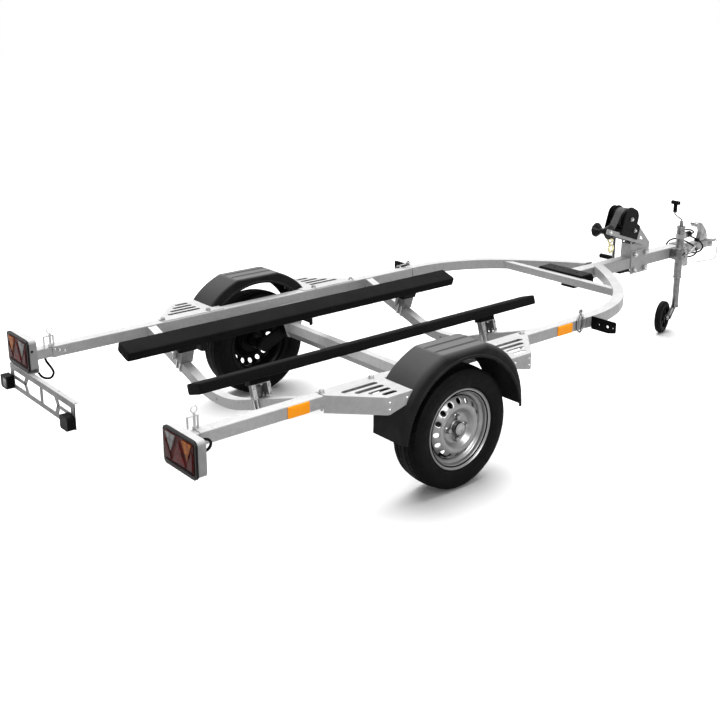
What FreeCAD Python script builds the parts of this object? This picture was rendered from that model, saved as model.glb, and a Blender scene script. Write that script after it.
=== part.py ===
import FreeCAD, Part
import math
import os
from FreeCAD import Vector

# Boat trailer. X points forward to the coupling, Y to the left, Z up.
# Places are worked out with the wheel axis at X zero and the ground at Z zero.

overrun = 5.0
fit_gap = 0.3
slide_gap = 0.3
pin_gap = 0.05
full_turn = 360.0

# Frame rails
rail_width = 56.0
rail_height = 54.0
rail_wall = 3.0
rail_corner = 5.0
rail_top = 535.0
frame_half_width = 656.0
rail_rear = 1180.0
rail_front = 1010.0

# Curved front of the frame
loop_stub = 30.0
loop_bend_radius = 778.0
loop_bend_angle = 45.0
loop_sweep_radius = 2460.0

# Drawbar
drawbar_width = 70.0
drawbar_height = 70.0
drawbar_wall = 4.0
drawbar_corner = 7.0
drawbar_drop = 8.0
drawbar_tuck = 227.0
drawbar_length = 1100.0

# Cross tube of the front loop
cross_tube_back = 340.0
cross_tube_size = 40.0
cross_tube_wall = 3.0

# Keel support between the cross tube and the drawbar, and the rubber pads
keel_rail_length = 330.0
keel_rail_height = 45.0
keel_rail_over = 5.0
keel_rail_wall = 4.0
keel_rail_chamfer = 16.0
keel_hole_radius = 6.0
keel_hole_spread = 160.0
pad_length = 90.0
pad_width = 40.0
pad_height = 14.0

# Curved cross members
member_x = 680.0
member_size = 45.0
member_wall = 3.0
member_slope = 18.0
member_bow_half = 190.0
member_end_drop = 28.0
member_hole_radius = 5.0

# Bunks
bunk_half_length = 990.0
bunk_width = 86.0
bunk_thickness = 40.0
bunk_corner = 8.0
bunk_y = 310.0
bunk_height_over_member = 86.0

# Bunk brackets
bunk_bracket_width = 52.0
bunk_bracket_spread = 62.0
bunk_bracket_sheet = 4.0
bunk_bracket_lip = 15.0
bunk_block_height = 22.0
bunk_block_length = 96.0

# Wheels
wheel_gap = 89.0
tyre_radius = 275.0
tyre_width = 155.0
bead_radius = 166.0
tyre_bead_width = 124.0
tread_width = 124.0
tyre_crown_drop = 7.0
tyre_flange_gap = 2.0
lower_wall_share = 0.62
upper_wall_share = 0.68
rim_radius = 182.5
rim_width = 132.0
rim_wall = 5.0
rim_seat_radius = 166.0
rim_well_radius = 146.0
rim_well_width = 44.0
disc_offset = 30.0
disc_sheet = 5.0
disc_hole_circle = 128.0
disc_hole_radius = 12.5
disc_hole_count = 16
disc_dish = 26.0
disc_crown_radius = 92.0
disc_flat_radius = 66.0
hub_bore_radius = 30.0
stud_circle = 100.0
stud_count = 4
stud_radius = 6.0
stud_head_radius = 11.0
stud_head_length = 16.0

# Hubs and stub axles
hub_flange_radius = 66.0
hub_flange_thickness = 10.0
hub_barrel_radius = 34.0
hub_barrel_length = 78.0
hub_cap_radius = 29.5
hub_cap_length = 34.0
axle_stub_radius = 15.0
axle_stub_length = 76.0
arm_thickness = 24.0
arm_clearance = 9.0
arm_eye_radius = 34.0
arm_root_radius = 30.0

# Axle
axle_x = 150.0
axle_z = 342.0
axle_flat = 42.0
axle_overhang = 6.0
axle_mount_thickness = 8.0
axle_mount_half = 88.0
axle_mount_foot = 34.0
axle_mount_round = 12.0
axle_mount_lap = 26.0

# Mudguards
guard_gap = 6.0
guard_width = 200.0
guard_sheet = 4.0
guard_shift = 16.0
guard_half_length = 356.0
guard_foot_z = 316.0
guard_knee_z = 458.0
guard_top_z = 648.0
guard_top_half = 128.0
guard_knee_round = 90.0
guard_top_round = 60.0
guard_arch_radius = 333.0
guard_outer_round = 30.0
guard_inner_round = 12.0
guard_roll = 4.0
guard_roll_width = 9.0
guard_bead_radius = 6.0
guard_bead_rise = 2.5
guard_bead_half = 122.0

# Mudguard brackets
wing_sheet = 3.0
wing_rail_x = 600.0
wing_corner_x = 420.0
wing_inner_x = 250.0
wing_inset = 24.0
wing_chamfer = 22.0
wing_depth = 76.0
wing_slot_count = 4
wing_slot_length = 184.0
wing_slot_shortening = 37.0
wing_slot_width = 14.0
wing_slot_pitch = 40.0
wing_slot_edge = 26.0
wing_slot_inner = 345.0
wing_bolt_radius = 6.0
wing_bolt_head = 6.0

# Lamp carriers
carrier_tube_wall = 3.0
carrier_reach = 70.0
carrier_insert = 480.0
carrier_plate_sheet = 4.0
lamp_height = 147.0
lamp_width = 224.0
lamp_depth = 46.0
lamp_out = 52.0
lamp_bottom = 436.0
lamp_corner = 20.0
lamp_rim_depth = 10.0
lens_depth = 5.0
lens_inset = 11.0
lens_proud = 2.0

# Number plate holder and its lamps
holder_width = 668.0
holder_height = 120.0
holder_sheet = 4.0
holder_flange = 22.0
holder_top = 430.0
holder_out = 159.0
holder_rib = 16.0
holder_mid_rib = 14.0
holder_end_band = 26.0
holder_window_side = 0.3
holder_window_nose = 0.26
holder_window_round = 7.0
holder_hole_radius = 5.0
plate_lamp_width = 74.0
plate_lamp_height = 62.0
plate_lamp_depth = 36.0
plate_lamp_round = 12.0

# Spring pins that hold the lamp carriers, with a hoop each
pin_hoop_width = 44.0
pin_hoop_height = 50.0
pin_hoop_radius = 4.0
pin_set_back = 8.0
pin_radius = 5.0
pin_ring_radius = 13.0
pin_ring_wire = 2.2
pin_top = 62.0

# Winch post
post_back = 590.0
post_length = 183.0
post_sheet = 5.0
post_top = 610.0
post_lap = 20.0
gusset_top = 698.0
gusset_back = 97.0
gusset_nose = 70.0
gusset_inset = 22.0
clamp_length = 168.0
clamp_sheet = 5.0
clamp_over = 42.0
clamp_under = 33.0
clamp_bolt_radius = 6.0
clamp_bolt_inset = 18.0
post_arm_rise = 18.0
post_arm_length = 345.0
arm_foot_back = 54.0
arm_half_width = 56.0
post_arm_height = 30.0
roller_slot = 112.0

# Winch
winch_back = 144.0
winch_half_width = 62.0
winch_side_sheet = 5.0
winch_side_back = 72.0
winch_side_front = 60.0
winch_side_nose = 100.0
winch_side_height = 158.0
winch_nose_height = 70.0
winch_top_round = 52.0
winch_shaft_height = 94.0
winch_skirt = 12.0
winch_tie_radius = 7.0
drum_radius = 60.0
drum_cheek_radius = 70.0
drum_cheek_sheet = 3.0
drum_half_width = 44.0
winch_shaft_radius = 8.0
pin_overhang = 8.0
crank_back = 56.0
crank_up = 36.0
crank_shaft_radius = 8.0
crank_stand_off = 16.0
crank_arm_length = 196.0
crank_arm_width = 20.0
crank_arm_sheet = 6.0
crank_grip_radius = 12.0
crank_grip_length = 100.0

# Bow roller
roller_back = 308.0
roller_end_radius = 42.0
roller_rim_width = 9.0
roller_neck_radius = 17.0
roller_neck_half = 10.0
roller_pin_radius = 7.0

# Strap's free end and the snap hook
tail_width = 48.0
tail_sheet = 3.0
tail_gap = 2.0
tail_drop = 46.0
hook_eye_radius = 11.0
hook_wire = 5.0
hook_length = 58.0

# Coupling. The lever's outline is measured from the ball's centre and the head's crown.
coupling_sleeve_length = 90.0
coupling_sheet = 4.0
coupling_reach = 280.0
coupling_ball_z = 478.0
ball_radius = 25.0
ball_gap = 0.4
coupling_head_radius = 36.0
coupling_rim_drop = 11.0
coupling_lip_reach = 77.0
coupling_lip_half = 21.0
coupling_lip_sheet = 9.0
coupling_corner = 9.0
coupling_lever_half = 15.0
lever_back = [(-29, 0), (-28, 27), (-40, 55), (-64, 85), (-98, 115), (-132, 127), (-166, 115), (-180, 138)]
lever_back_rounds = [0, 20, 40, 50, 40, 30, 12, 6]
lever_belly = [(-188, 118), (-166, 98), (-136, 108), (-108, 84), (-96, 62), (-104, 34), (-112, 0)]
lever_belly_rounds = [6, 14, 14, 20, 20, 20, 0]
catch_half = 16.0
stub_length = 58.0
stub_drop = 70.0

# Jockey wheel
jockey_back = 158.0
jockey_y = 86.0
jockey_tube_radius = 24.0
jockey_tube_top = 670.0
jockey_tube_bottom = 340.0
jockey_inner_radius = 19.5
jockey_inner_top = 540.0
jockey_inner_bottom = 163.0
jockey_wheel_radius = 100.0
jockey_wheel_width = 40.0
jockey_trail = 90.0
jockey_wheel_aside = 46.0
jockey_swivel = 16.0
jockey_fork_sheet = 5.0
jockey_fork_width = 40.0
jockey_fork_aside = 13.0
jockey_crown_radius = 22.0
jockey_crown_height = 12.0
jockey_pin_radius = 6.0
jockey_clamp_height = 62.0
jockey_clamp_width = 56.0
jockey_cap_height = 9.0
jockey_collar_radius = 11.0
jockey_collar_height = 32.0
jockey_crank_radius = 4.0
jockey_crank_throw = 80.0
jockey_crank_rise = 46.0
jockey_knob_radius = 12.0
jockey_knob_length = 52.0
jockey_knob_rise = 60.0
clamp_handle_radius = 5.0

# Plug of the electric lead, parked in a dummy socket on the jockey wheel's tube
park_height = 608.0
park_collar_height = 26.0
park_cup_radius = 23.0
park_cup_length = 20.0
plug_radius = 19.0
plug_length = 52.0
plug_tail_radius = 8.0
plug_tail_length = 18.0
grommet_radius = 7.0
grommet_length = 14.0
lead_exit = 26.0
grommet_back = 112.0
grommet_up = 8.0

# Electric lead and breakaway cable. Their points are measured forward from the drawbar's
# front end, to the left of the middle, and up from the drawbar's middle.
cord_arc_share = 0.45
lead_diameter = 10.0
lead_points = [
    (-66, -70, -14), (-56, -58, -44), (-56, -28, -64), (-62, 8, -66), (-72, 42, -54),
    (-80, 64, -22), (-82, 66, 18), (-78, 48, 54), (-68, 8, 72), (-52, -32, 66), (-16, -60, 46),
    (34, -70, 14), (74, -64, -22), (86, -38, -56), (66, 2, -72), (36, 40, -60), (20, 64, -26),
    (20, 64, 20), (32, 44, 58), (40, 6, 80), (58, -36, 68), (102, -60, 40), (144, -62, 2),
    (156, -42, -34), (132, -8, -54), (96, 32, -50), (76, 60, -20), (70, 68, 22), (52, 64, 66),
    (40, 38, 98), (32, 2, 116), (22, -38, 122), (6, -72, 118),
]
cable_diameter = 5.0
cable_points = [
    (40, -35, -92), (80, -44, -98), (130, -50, -102), (186, -52, -102), (240, -52, -107),
    (292, -48, -112), (338, -36, -108), (374, -20, -92), (392, -8, -68), (400, -3, -43), (402, 0, -17),
    (383, 0, 3),
]
cable_start_up = -92.0
cable_end_up = 3.0

# Small fittings on the rails
reflector_x = 740.0
reflector_front_x = 848.0
reflector_length = 100.0
reflector_height = 46.0
reflector_depth = 7.0
hoop_x = 956.0
hoop_rod = 8.0
hoop_spread = 42.0
hoop_under = 16.0
hoop_eye_rise = 24.0
marker_x = 1050.0
marker_length = 146.0
marker_height = 64.0
marker_end_height = 44.0
marker_sheet = 4.0
marker_hole_radius = 7.0
marker_small_hole_radius = 3.0


def cyl(x, y, z, radius, length, direction):
    """A round bar of the radius and length, from its start centre along the direction."""
    return Part.makeCylinder(radius, length, Vector(x, y, z), direction)


def block(x0, x1, y0, y1, z0, z1):
    """A box between two corners."""
    return Part.makeBox(x1 - x0, y1 - y0, z1 - z0, Vector(x0, y0, z0))


def mirrored(shape):
    """The same piece on the other side of the middle plane."""
    return shape.mirror(Vector(0, 0, 0), Vector(0, 1, 0))


def rounded_wire(points, radii):
    """A closed wire through the points, each corner rounded by its radius where that isn't zero."""
    edges = []
    starts = []
    ends = []
    middles = []
    count = len(points)
    for i in range(count):
        corner = points[i]
        back = points[i - 1].sub(corner)
        ahead = points[(i + 1) % count].sub(corner)
        back.normalize()
        ahead.normalize()
        radius = radii[i]
        if radius == 0:
            starts.append(corner)
            ends.append(corner)
            middles.append(None)
            continue
        half = back.getAngle(ahead) / 2
        reach = radius / math.tan(half)
        bisector = back.add(ahead)
        bisector.normalize()
        starts.append(corner.add(back.multiply(reach)))
        ends.append(corner.add(ahead.multiply(reach)))
        middles.append(corner.add(bisector.multiply(radius / math.sin(half) - radius)))
    for i in range(count):
        if middles[i] is not None:
            edges.append(Part.Arc(starts[i], middles[i], ends[i]).toShape())
        nearest = starts[(i + 1) % count]
        if ends[i].distanceToPoint(nearest) > pin_gap:
            edges.append(Part.LineSegment(ends[i], nearest).toShape())
    return Part.Wire(edges)


def plate(points, radii, thickness):
    """A flat piece: the outline with its rounded corners, thickened by the given vector."""
    return Part.Face(rounded_wire(points, radii)).extrude(thickness)


def side_profile(pairs, radii, y0, y1):
    """An outline in the X and Z plane, carried across from y0 to y1."""
    points = [Vector(x, y0, z) for x, z in pairs]
    return plate(points, radii, Vector(0, y1 - y0, 0))


def plan_profile(pairs, radii, z0, z1):
    """An outline in the X and Y plane, carried up from z0 to z1."""
    points = [Vector(x, y, z0) for x, y in pairs]
    return plate(points, radii, Vector(0, 0, z1 - z0))


def cross_profile(pairs, radii, x0, x1):
    """An outline in the Y and Z plane, carried forward from x0 to x1."""
    points = [Vector(x0, y, z) for y, z in pairs]
    return plate(points, radii, Vector(x1 - x0, 0, 0))


def box_tube(x0, x1, y, z, width, height, wall, corner):
    """A box section tube along X with its outer middle at y and z."""
    def section(half_width, half_height, radius, start, end):
        pairs = [(y - half_width, z - half_height), (y + half_width, z - half_height),
                 (y + half_width, z + half_height), (y - half_width, z + half_height)]
        return cross_profile(pairs, [radius] * len(pairs), start, end)
    outer = section(width / 2, height / 2, corner, x0, x1)
    inner = section(width / 2 - wall, height / 2 - wall, corner - wall, x0 - overrun, x1 + overrun)
    return outer.cut(inner)


def rod(points, radius):
    """A bent round rod through the points, with a ball at each bend."""
    pieces = []
    for start, end in zip(points, points[1:]):
        run = end.sub(start)
        pieces.append(Part.makeCylinder(radius, run.Length, start, run))
    for bend in points[1:-1]:
        pieces.append(Part.makeSphere(radius, bend))
    return pieces[0].fuse(pieces[1:])


rail_mid_z = rail_top - rail_height / 2
rail_mid_y = frame_half_width - rail_width / 2
rail_inner_y = frame_half_width - rail_width
rail_bottom = rail_top - rail_height
drawbar_top = rail_top - drawbar_drop
drawbar_mid_z = drawbar_top - drawbar_height / 2
drawbar_bottom = drawbar_top - drawbar_height
drawbar_half = drawbar_width / 2
wheel_y = frame_half_width + wheel_gap
axle_half_length = rail_inner_y + axle_overhang
guard_inner_y = frame_half_width + guard_gap
guard_outer_y = guard_inner_y + guard_width
wing_outer_y = guard_outer_y - wing_inset
lamp_centre_y = frame_half_width + lamp_out
holder_outer_y = frame_half_width + holder_out

loop_turn = math.radians(loop_bend_angle)
loop_bend_x = rail_front + loop_stub
loop_bend_y = rail_mid_y - loop_bend_radius
loop_sweep_x = loop_bend_x - (loop_sweep_radius - loop_bend_radius) * math.sin(loop_turn)
loop_sweep_y = loop_bend_y - (loop_sweep_radius - loop_bend_radius) * math.cos(loop_turn)
loop_tip_x = loop_sweep_x + math.sqrt(loop_sweep_radius ** 2 - loop_sweep_y ** 2)
drawbar_rear = loop_tip_x - drawbar_tuck
drawbar_front = drawbar_rear + drawbar_length
cross_tube_x = loop_tip_x - cross_tube_back
post_x = drawbar_front - post_back
jockey_x = drawbar_front - jockey_back
coupling_ball_x = drawbar_front + coupling_reach


def side_rail():
    """Left rail: a straight box tube with open ends; the lamp carrier slides into its rear end."""
    return box_tube(-rail_rear, rail_front, rail_mid_y, rail_mid_z,
                    rail_width, rail_height, rail_wall, rail_corner)


def loop_band(half_band):
    """Plan outline of the left half of the loop, a band on each side of its middle line."""
    last = math.acos((0 - loop_sweep_y) / loop_sweep_radius)

    def on_bend(radius, angle):
        return Vector(loop_bend_x + radius * math.sin(angle), loop_bend_y + radius * math.cos(angle), 0)

    def on_sweep(radius, angle):
        return Vector(loop_sweep_x + radius * math.sin(angle),
                      loop_sweep_y + radius * math.cos(angle), 0)

    def side(offset):
        first = Vector(rail_front, rail_mid_y + offset, 0)
        start = on_bend(loop_bend_radius + offset, 0)
        half = on_bend(loop_bend_radius + offset, loop_turn / 2)
        joint = on_bend(loop_bend_radius + offset, loop_turn)
        mid = on_sweep(loop_sweep_radius + offset, (loop_turn + last) / 2)
        end = on_sweep(loop_sweep_radius + offset, last)
        return [Part.LineSegment(first, start).toShape(), Part.Arc(start, half, joint).toShape(),
                Part.Arc(joint, mid, end).toShape()], first, end

    outer, outer_first, outer_end = side(half_band)
    inner, inner_first, inner_end = side(-half_band)
    closing = [Part.LineSegment(outer_end, inner_end).toShape(),
               Part.LineSegment(inner_first, outer_first).toShape()]
    edges = outer + inner + closing
    return Part.Face(Part.Wire(Part.__sortEdges__(edges)))


def front_loop():
    """Left half of the bent front tube, cut off square against the drawbar's side."""
    outer = loop_band(rail_width / 2)
    outer.translate(Vector(0, 0, rail_bottom))
    outer = outer.extrude(Vector(0, 0, rail_height))
    inner = loop_band(rail_width / 2 - rail_wall)
    inner.translate(Vector(0, 0, rail_bottom + rail_wall))
    inner = inner.extrude(Vector(0, 0, rail_height - 2 * rail_wall))
    clear = block(rail_front - overrun, drawbar_front, -frame_half_width, drawbar_half,
                  rail_bottom - overrun, rail_top + overrun)
    return outer.cut(inner).cut(clear)


def drawbar():
    """The box tube from the loop's tip to the coupling."""
    return box_tube(drawbar_rear, drawbar_front, 0, drawbar_mid_z,
                    drawbar_width, drawbar_height, drawbar_wall, drawbar_corner)


def cross_tube():
    """The straight tube across the loop; its ends follow the loop's inner faces."""
    top = rail_top - drawbar_drop
    half = cross_tube_size / 2
    outer = block(cross_tube_x - half, cross_tube_x + half, -rail_inner_y, rail_inner_y,
                  top - cross_tube_size, top)
    inner = block(cross_tube_x - half + cross_tube_wall, cross_tube_x + half - cross_tube_wall,
                  -rail_inner_y, rail_inner_y, top - cross_tube_size + cross_tube_wall,
                  top - cross_tube_wall)
    tube = outer.cut(inner)
    band = loop_band(rail_width / 2)
    band.translate(Vector(0, 0, rail_bottom - overrun))
    left = band.extrude(Vector(0, 0, rail_height + 2 * overrun))
    tube = tube.cut(left).cut(mirrored(left))
    pieces = [solid for solid in tube.Solids if abs(solid.CenterOfMass.y) < cross_tube_size]
    return pieces[0]


def keel_support():
    """Folded channel between the cross tube and the drawbar, open below, with two holes on top."""
    half = keel_rail_length / 2
    x0 = cross_tube_x + cross_tube_size / 2
    x1 = drawbar_rear
    z1 = rail_top + keel_rail_over
    z0 = z1 - keel_rail_height
    cut = keel_rail_chamfer
    ends = [(-half, z0), (half, z0), (half, z1 - cut), (half - cut, z1), (cut - half, z1), (-half, z1 - cut)]
    channel = cross_profile(ends, [0] * len(ends), x0, x1)
    hollow = block(x0 + keel_rail_wall, x1 - keel_rail_wall, -half - overrun, half + overrun,
                   z0 - overrun, z1 - keel_rail_wall)
    channel = channel.cut(hollow)
    for side in (-1, 1):
        hole = cyl((x0 + x1) / 2, side * keel_hole_spread / 2, z0, keel_hole_radius,
                   keel_rail_height + overrun, Vector(0, 0, 1))
        channel = channel.cut(hole)
    return channel


def rubber_pads():
    """Two rubber pads: one below the cross tube, one below the drawbar behind the post."""
    top = drawbar_top - cross_tube_size
    first = block(cross_tube_x - pad_width / 2, cross_tube_x + pad_width / 2,
                  -pad_length * 3 / 2, -pad_length / 2, top - pad_height, top)
    x1 = post_x
    second = block(x1 - pad_length, x1, -drawbar_half, drawbar_half,
                   drawbar_bottom - pad_height, drawbar_bottom)
    return Part.Compound([first, second])


def member_path(offset):
    """Half of the member's middle line, moved up by the offset: the leg and half of the bow."""
    slope = math.radians(member_slope)
    bow_radius = member_bow_half / math.sin(slope)
    leg_drop = (rail_inner_y - member_bow_half) * math.tan(slope)
    end_z = rail_top - member_end_drop
    bow_z = end_z - leg_drop + bow_radius * math.cos(slope)
    radius = bow_radius - offset
    joint = Vector(0, radius * math.sin(slope), bow_z - radius * math.cos(slope))
    low = Vector(0, 0, bow_z - radius)
    run = (rail_inner_y - joint.y) / math.cos(slope)
    tip = joint.add(Vector(0, run * math.cos(slope), run * math.sin(slope)))
    return low, joint, tip


def member_band(half_band):
    """The member's side view: a band along the two legs and the bow."""
    low_a, joint_a, tip_a = member_path(half_band)
    low_b, joint_b, tip_b = member_path(-half_band)

    def other(point):
        return Vector(point.x, -point.y, point.z)

    edges = []
    for joint, low, tip in ((joint_a, low_a, tip_a), (joint_b, low_b, tip_b)):
        edges.append(Part.Arc(joint, low, other(joint)).toShape())
        edges.append(Part.LineSegment(joint, tip).toShape())
        edges.append(Part.LineSegment(other(joint), other(tip)).toShape())
    edges.append(Part.LineSegment(tip_a, tip_b).toShape())
    edges.append(Part.LineSegment(other(tip_a), other(tip_b)).toShape())
    return Part.Face(Part.Wire(Part.__sortEdges__(edges)))


def cross_member(side):
    """A box tube bent into a shallow trough, welded between the rails; a drain hole at its middle."""
    x0 = side * member_x - member_size / 2
    outer = member_band(member_size / 2)
    outer.translate(Vector(x0, 0, 0))
    outer = outer.extrude(Vector(member_size, 0, 0))
    inner = member_band(member_size / 2 - member_wall)
    inner.translate(Vector(x0 + member_wall, 0, 0))
    inner = inner.extrude(Vector(member_size - 2 * member_wall, 0, 0))
    low = member_path(0)[0]
    hole = cyl(x0 - overrun, 0, low.z, member_hole_radius, member_size + 2 * overrun, Vector(1, 0, 0))
    return outer.cut(inner).cut(hole)


def member_z(y, offset):
    """Height of the member's leg at a width y, moved up square to the leg by the offset."""
    slope = math.radians(member_slope)
    end_z = rail_top - member_end_drop
    return end_z - (rail_inner_y - y) * math.tan(slope) + offset / math.cos(slope)


def tilted(shape):
    """Turns a piece made flat about the bunk's place to lie along the member's left leg."""
    origin = Vector(0, bunk_y, 0)
    shape.rotate(origin, Vector(1, 0, 0), member_slope)
    shape.translate(Vector(0, 0, member_z(bunk_y, member_size / 2)))
    return shape


def bunk():
    """Left bunk board with rounded long edges."""
    half = bunk_width / 2
    z0 = bunk_height_over_member
    z1 = z0 + bunk_thickness
    pairs = [(bunk_y - half, z0), (bunk_y + half, z0), (bunk_y + half, z1), (bunk_y - half, z1)]
    board = cross_profile(pairs, [bunk_corner] * len(pairs), -bunk_half_length, bunk_half_length)
    return tilted(board)


def bunk_bracket(side):
    """A lipped channel that stands on a cross member and carries the bunk."""
    x0 = side * member_x
    spread = bunk_bracket_spread / 2
    sheet = bunk_bracket_sheet
    y0 = bunk_y - bunk_bracket_width / 2
    y1 = bunk_y + bunk_bracket_width / 2
    top = bunk_height_over_member - bunk_block_height
    web = block(x0 - spread, x0 + spread, y0, y0 + sheet, 0, top)
    foot = block(x0 - spread, x0 + spread, y0, y1, 0, sheet)
    seat = block(x0 - spread, x0 + spread, y0, y1, top - sheet, top)
    pieces = [foot, seat]
    for end in (-1, 1):
        flange_x = x0 + end * (spread - sheet / 2)
        lip_x = x0 + end * (spread + bunk_bracket_lip / 2 - sheet / 2)
        pieces.append(block(flange_x - sheet / 2, flange_x + sheet / 2, y0, y1, 0, top))
        pieces.append(block(lip_x - bunk_bracket_lip / 2 - sheet / 2, lip_x + bunk_bracket_lip / 2,
                            y1 - sheet, y1, 0, top))
    return tilted(web.fuse(pieces).removeSplitter())


def bunk_block(side):
    """Black block between a bracket and its bunk."""
    x0 = side * member_x
    half = bunk_block_length / 2
    y0 = bunk_y - bunk_bracket_width / 2
    y1 = bunk_y + bunk_bracket_width / 2
    z1 = bunk_height_over_member
    pairs = [(x0 - half, y0), (x0 + half, y0), (x0 + half, y1), (x0 - half, y1)]
    return tilted(plan_profile(pairs, [bunk_corner] * len(pairs), z1 - bunk_block_height, z1 - fit_gap))


def tyre():
    """Left tyre, one solid turned about the wheel axis, with rounded shoulders and sidewalls."""
    half = tyre_width / 2
    bead_y = tyre_bead_width / 2 - fit_gap
    tread = tread_width / 2
    clear_r = rim_radius + tyre_flange_gap
    wall_r = clear_r + (tyre_radius - clear_r) / 2
    shoulder_r = tyre_radius - tyre_crown_drop
    bead = Vector(0, bead_y, bead_radius + fit_gap)
    flange = Vector(0, bead_y, clear_r)
    wall = Vector(0, half, wall_r)
    shoulder = Vector(0, tread, shoulder_r)
    low_wall = Vector(0, bead_y + (half - bead_y) * lower_wall_share, (clear_r + wall_r) / 2)
    top_wall = Vector(0, tread + (half - tread) * upper_wall_share,
                      wall_r + (shoulder_r - wall_r) * upper_wall_share)
    crown = Vector(0, 0, tyre_radius)

    def over(point):
        return Vector(point.x, -point.y, point.z)

    edges = [Part.LineSegment(bead, flange).toShape(),
             Part.Arc(flange, low_wall, wall).toShape(),
             Part.Arc(wall, top_wall, shoulder).toShape(),
             Part.Arc(shoulder, crown, over(shoulder)).toShape(),
             Part.Arc(over(shoulder), over(top_wall), over(wall)).toShape(),
             Part.Arc(over(wall), over(low_wall), over(flange)).toShape(),
             Part.LineSegment(over(flange), over(bead)).toShape(),
             Part.LineSegment(over(bead), bead).toShape()]
    ring = Part.Face(Part.Wire(edges)).revolve(Vector(0, 0, 0), Vector(0, 1, 0), full_turn)
    ring.translate(Vector(0, wheel_y, tyre_radius))
    return ring


def turned(pairs):
    """A ring turned about the Y axis from an outline of (y, radius) pairs."""
    points = [Vector(0, y, r) for y, r in pairs]
    points.append(points[0])
    face = Part.Face(Part.makePolygon(points))
    return face.revolve(Vector(0, 0, 0), Vector(0, 1, 0), full_turn)


def rim():
    """Left steel rim: flanges, bead seats and well, with a dished disc that has a ring of holes."""
    half = rim_width / 2
    seat = tyre_bead_width / 2
    well = rim_well_width / 2
    step = rim_seat_radius - rim_well_radius
    outline = [(half, rim_radius), (seat, rim_radius - rim_wall), (seat, rim_seat_radius),
               (well + step, rim_seat_radius), (well, rim_well_radius), (-well, rim_well_radius),
               (-well - step, rim_seat_radius), (-seat, rim_seat_radius),
               (-seat, rim_radius - rim_wall), (-half, rim_radius)]
    inside = [(-half, rim_radius - rim_wall), (-seat - rim_wall, rim_seat_radius - rim_wall),
              (-well - step - rim_wall, rim_seat_radius - rim_wall),
              (-well - rim_wall, rim_well_radius - rim_wall),
              (well + rim_wall, rim_well_radius - rim_wall),
              (well + step + rim_wall, rim_seat_radius - rim_wall),
              (seat + rim_wall, rim_seat_radius - rim_wall), (half, rim_radius - rim_wall)]
    barrel = turned(outline + inside)
    face = disc_offset
    crown = disc_offset + disc_dish
    outer_r = rim_well_radius - rim_wall
    inner_r = outer_r - disc_sheet
    back = [(face, hub_bore_radius), (face, disc_flat_radius), (crown, disc_crown_radius),
            (crown - disc_sheet, disc_hole_circle), (face, inner_r), (0, inner_r), (0, outer_r)]
    front = [(face + disc_sheet, outer_r), (crown, disc_hole_circle),
             (crown + disc_sheet, disc_crown_radius), (face + disc_sheet, disc_flat_radius),
             (face + disc_sheet, hub_bore_radius)]
    disc = turned(back + front)
    hole = cyl(0, 0, disc_hole_circle, disc_hole_radius, tyre_width, Vector(0, 1, 0))
    for i in range(disc_hole_count):
        turn_hole = hole.copy()
        turn_hole.rotate(Vector(0, 0, 0), Vector(0, 1, 0), full_turn / disc_hole_count * i)
        disc = disc.cut(turn_hole)
    stud_hole = cyl(0, 0, stud_circle / 2, stud_radius, tyre_width, Vector(0, 1, 0))
    for i in range(stud_count):
        turn_hole = stud_hole.copy()
        turn_hole.rotate(Vector(0, 0, 0), Vector(0, 1, 0), full_turn / stud_count * i)
        disc = disc.cut(turn_hole)
    wheel = barrel.fuse(disc).removeSplitter()
    wheel.translate(Vector(0, wheel_y, tyre_radius))
    return wheel


def hub():
    """Left hub: barrel on the stub axle, wheel flange, grease cap and the wheel bolts."""
    face = disc_offset
    flange = cyl(0, face - hub_flange_thickness, 0, hub_flange_radius, hub_flange_thickness,
                 Vector(0, 1, 0))
    barrel = cyl(0, face - hub_flange_thickness - hub_barrel_length, 0, hub_barrel_radius,
                 hub_barrel_length, Vector(0, 1, 0))
    cap = cyl(0, face, 0, hub_cap_radius, hub_cap_length, Vector(0, 1, 0))
    body = flange.fuse([barrel, cap])
    bore_length = axle_stub_length + pin_gap
    start = face - hub_flange_thickness - hub_barrel_length
    bore = cyl(0, start - overrun, 0, axle_stub_radius + pin_gap, bore_length + overrun, Vector(0, 1, 0))
    body = body.cut(bore)
    for i in range(stud_count):
        bolt = cyl(0, face, stud_circle / 2, stud_radius - pin_gap, disc_sheet, Vector(0, 1, 0))
        head = cyl(0, face + disc_sheet, stud_circle / 2, stud_head_radius, stud_head_length,
                   Vector(0, 1, 0))
        bolt = bolt.fuse(head)
        bolt.rotate(Vector(0, 0, 0), Vector(0, 1, 0), full_turn / stud_count * i)
        body = body.fuse(bolt)
    body = body.removeSplitter()
    body.translate(Vector(0, wheel_y, tyre_radius))
    return body


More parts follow.
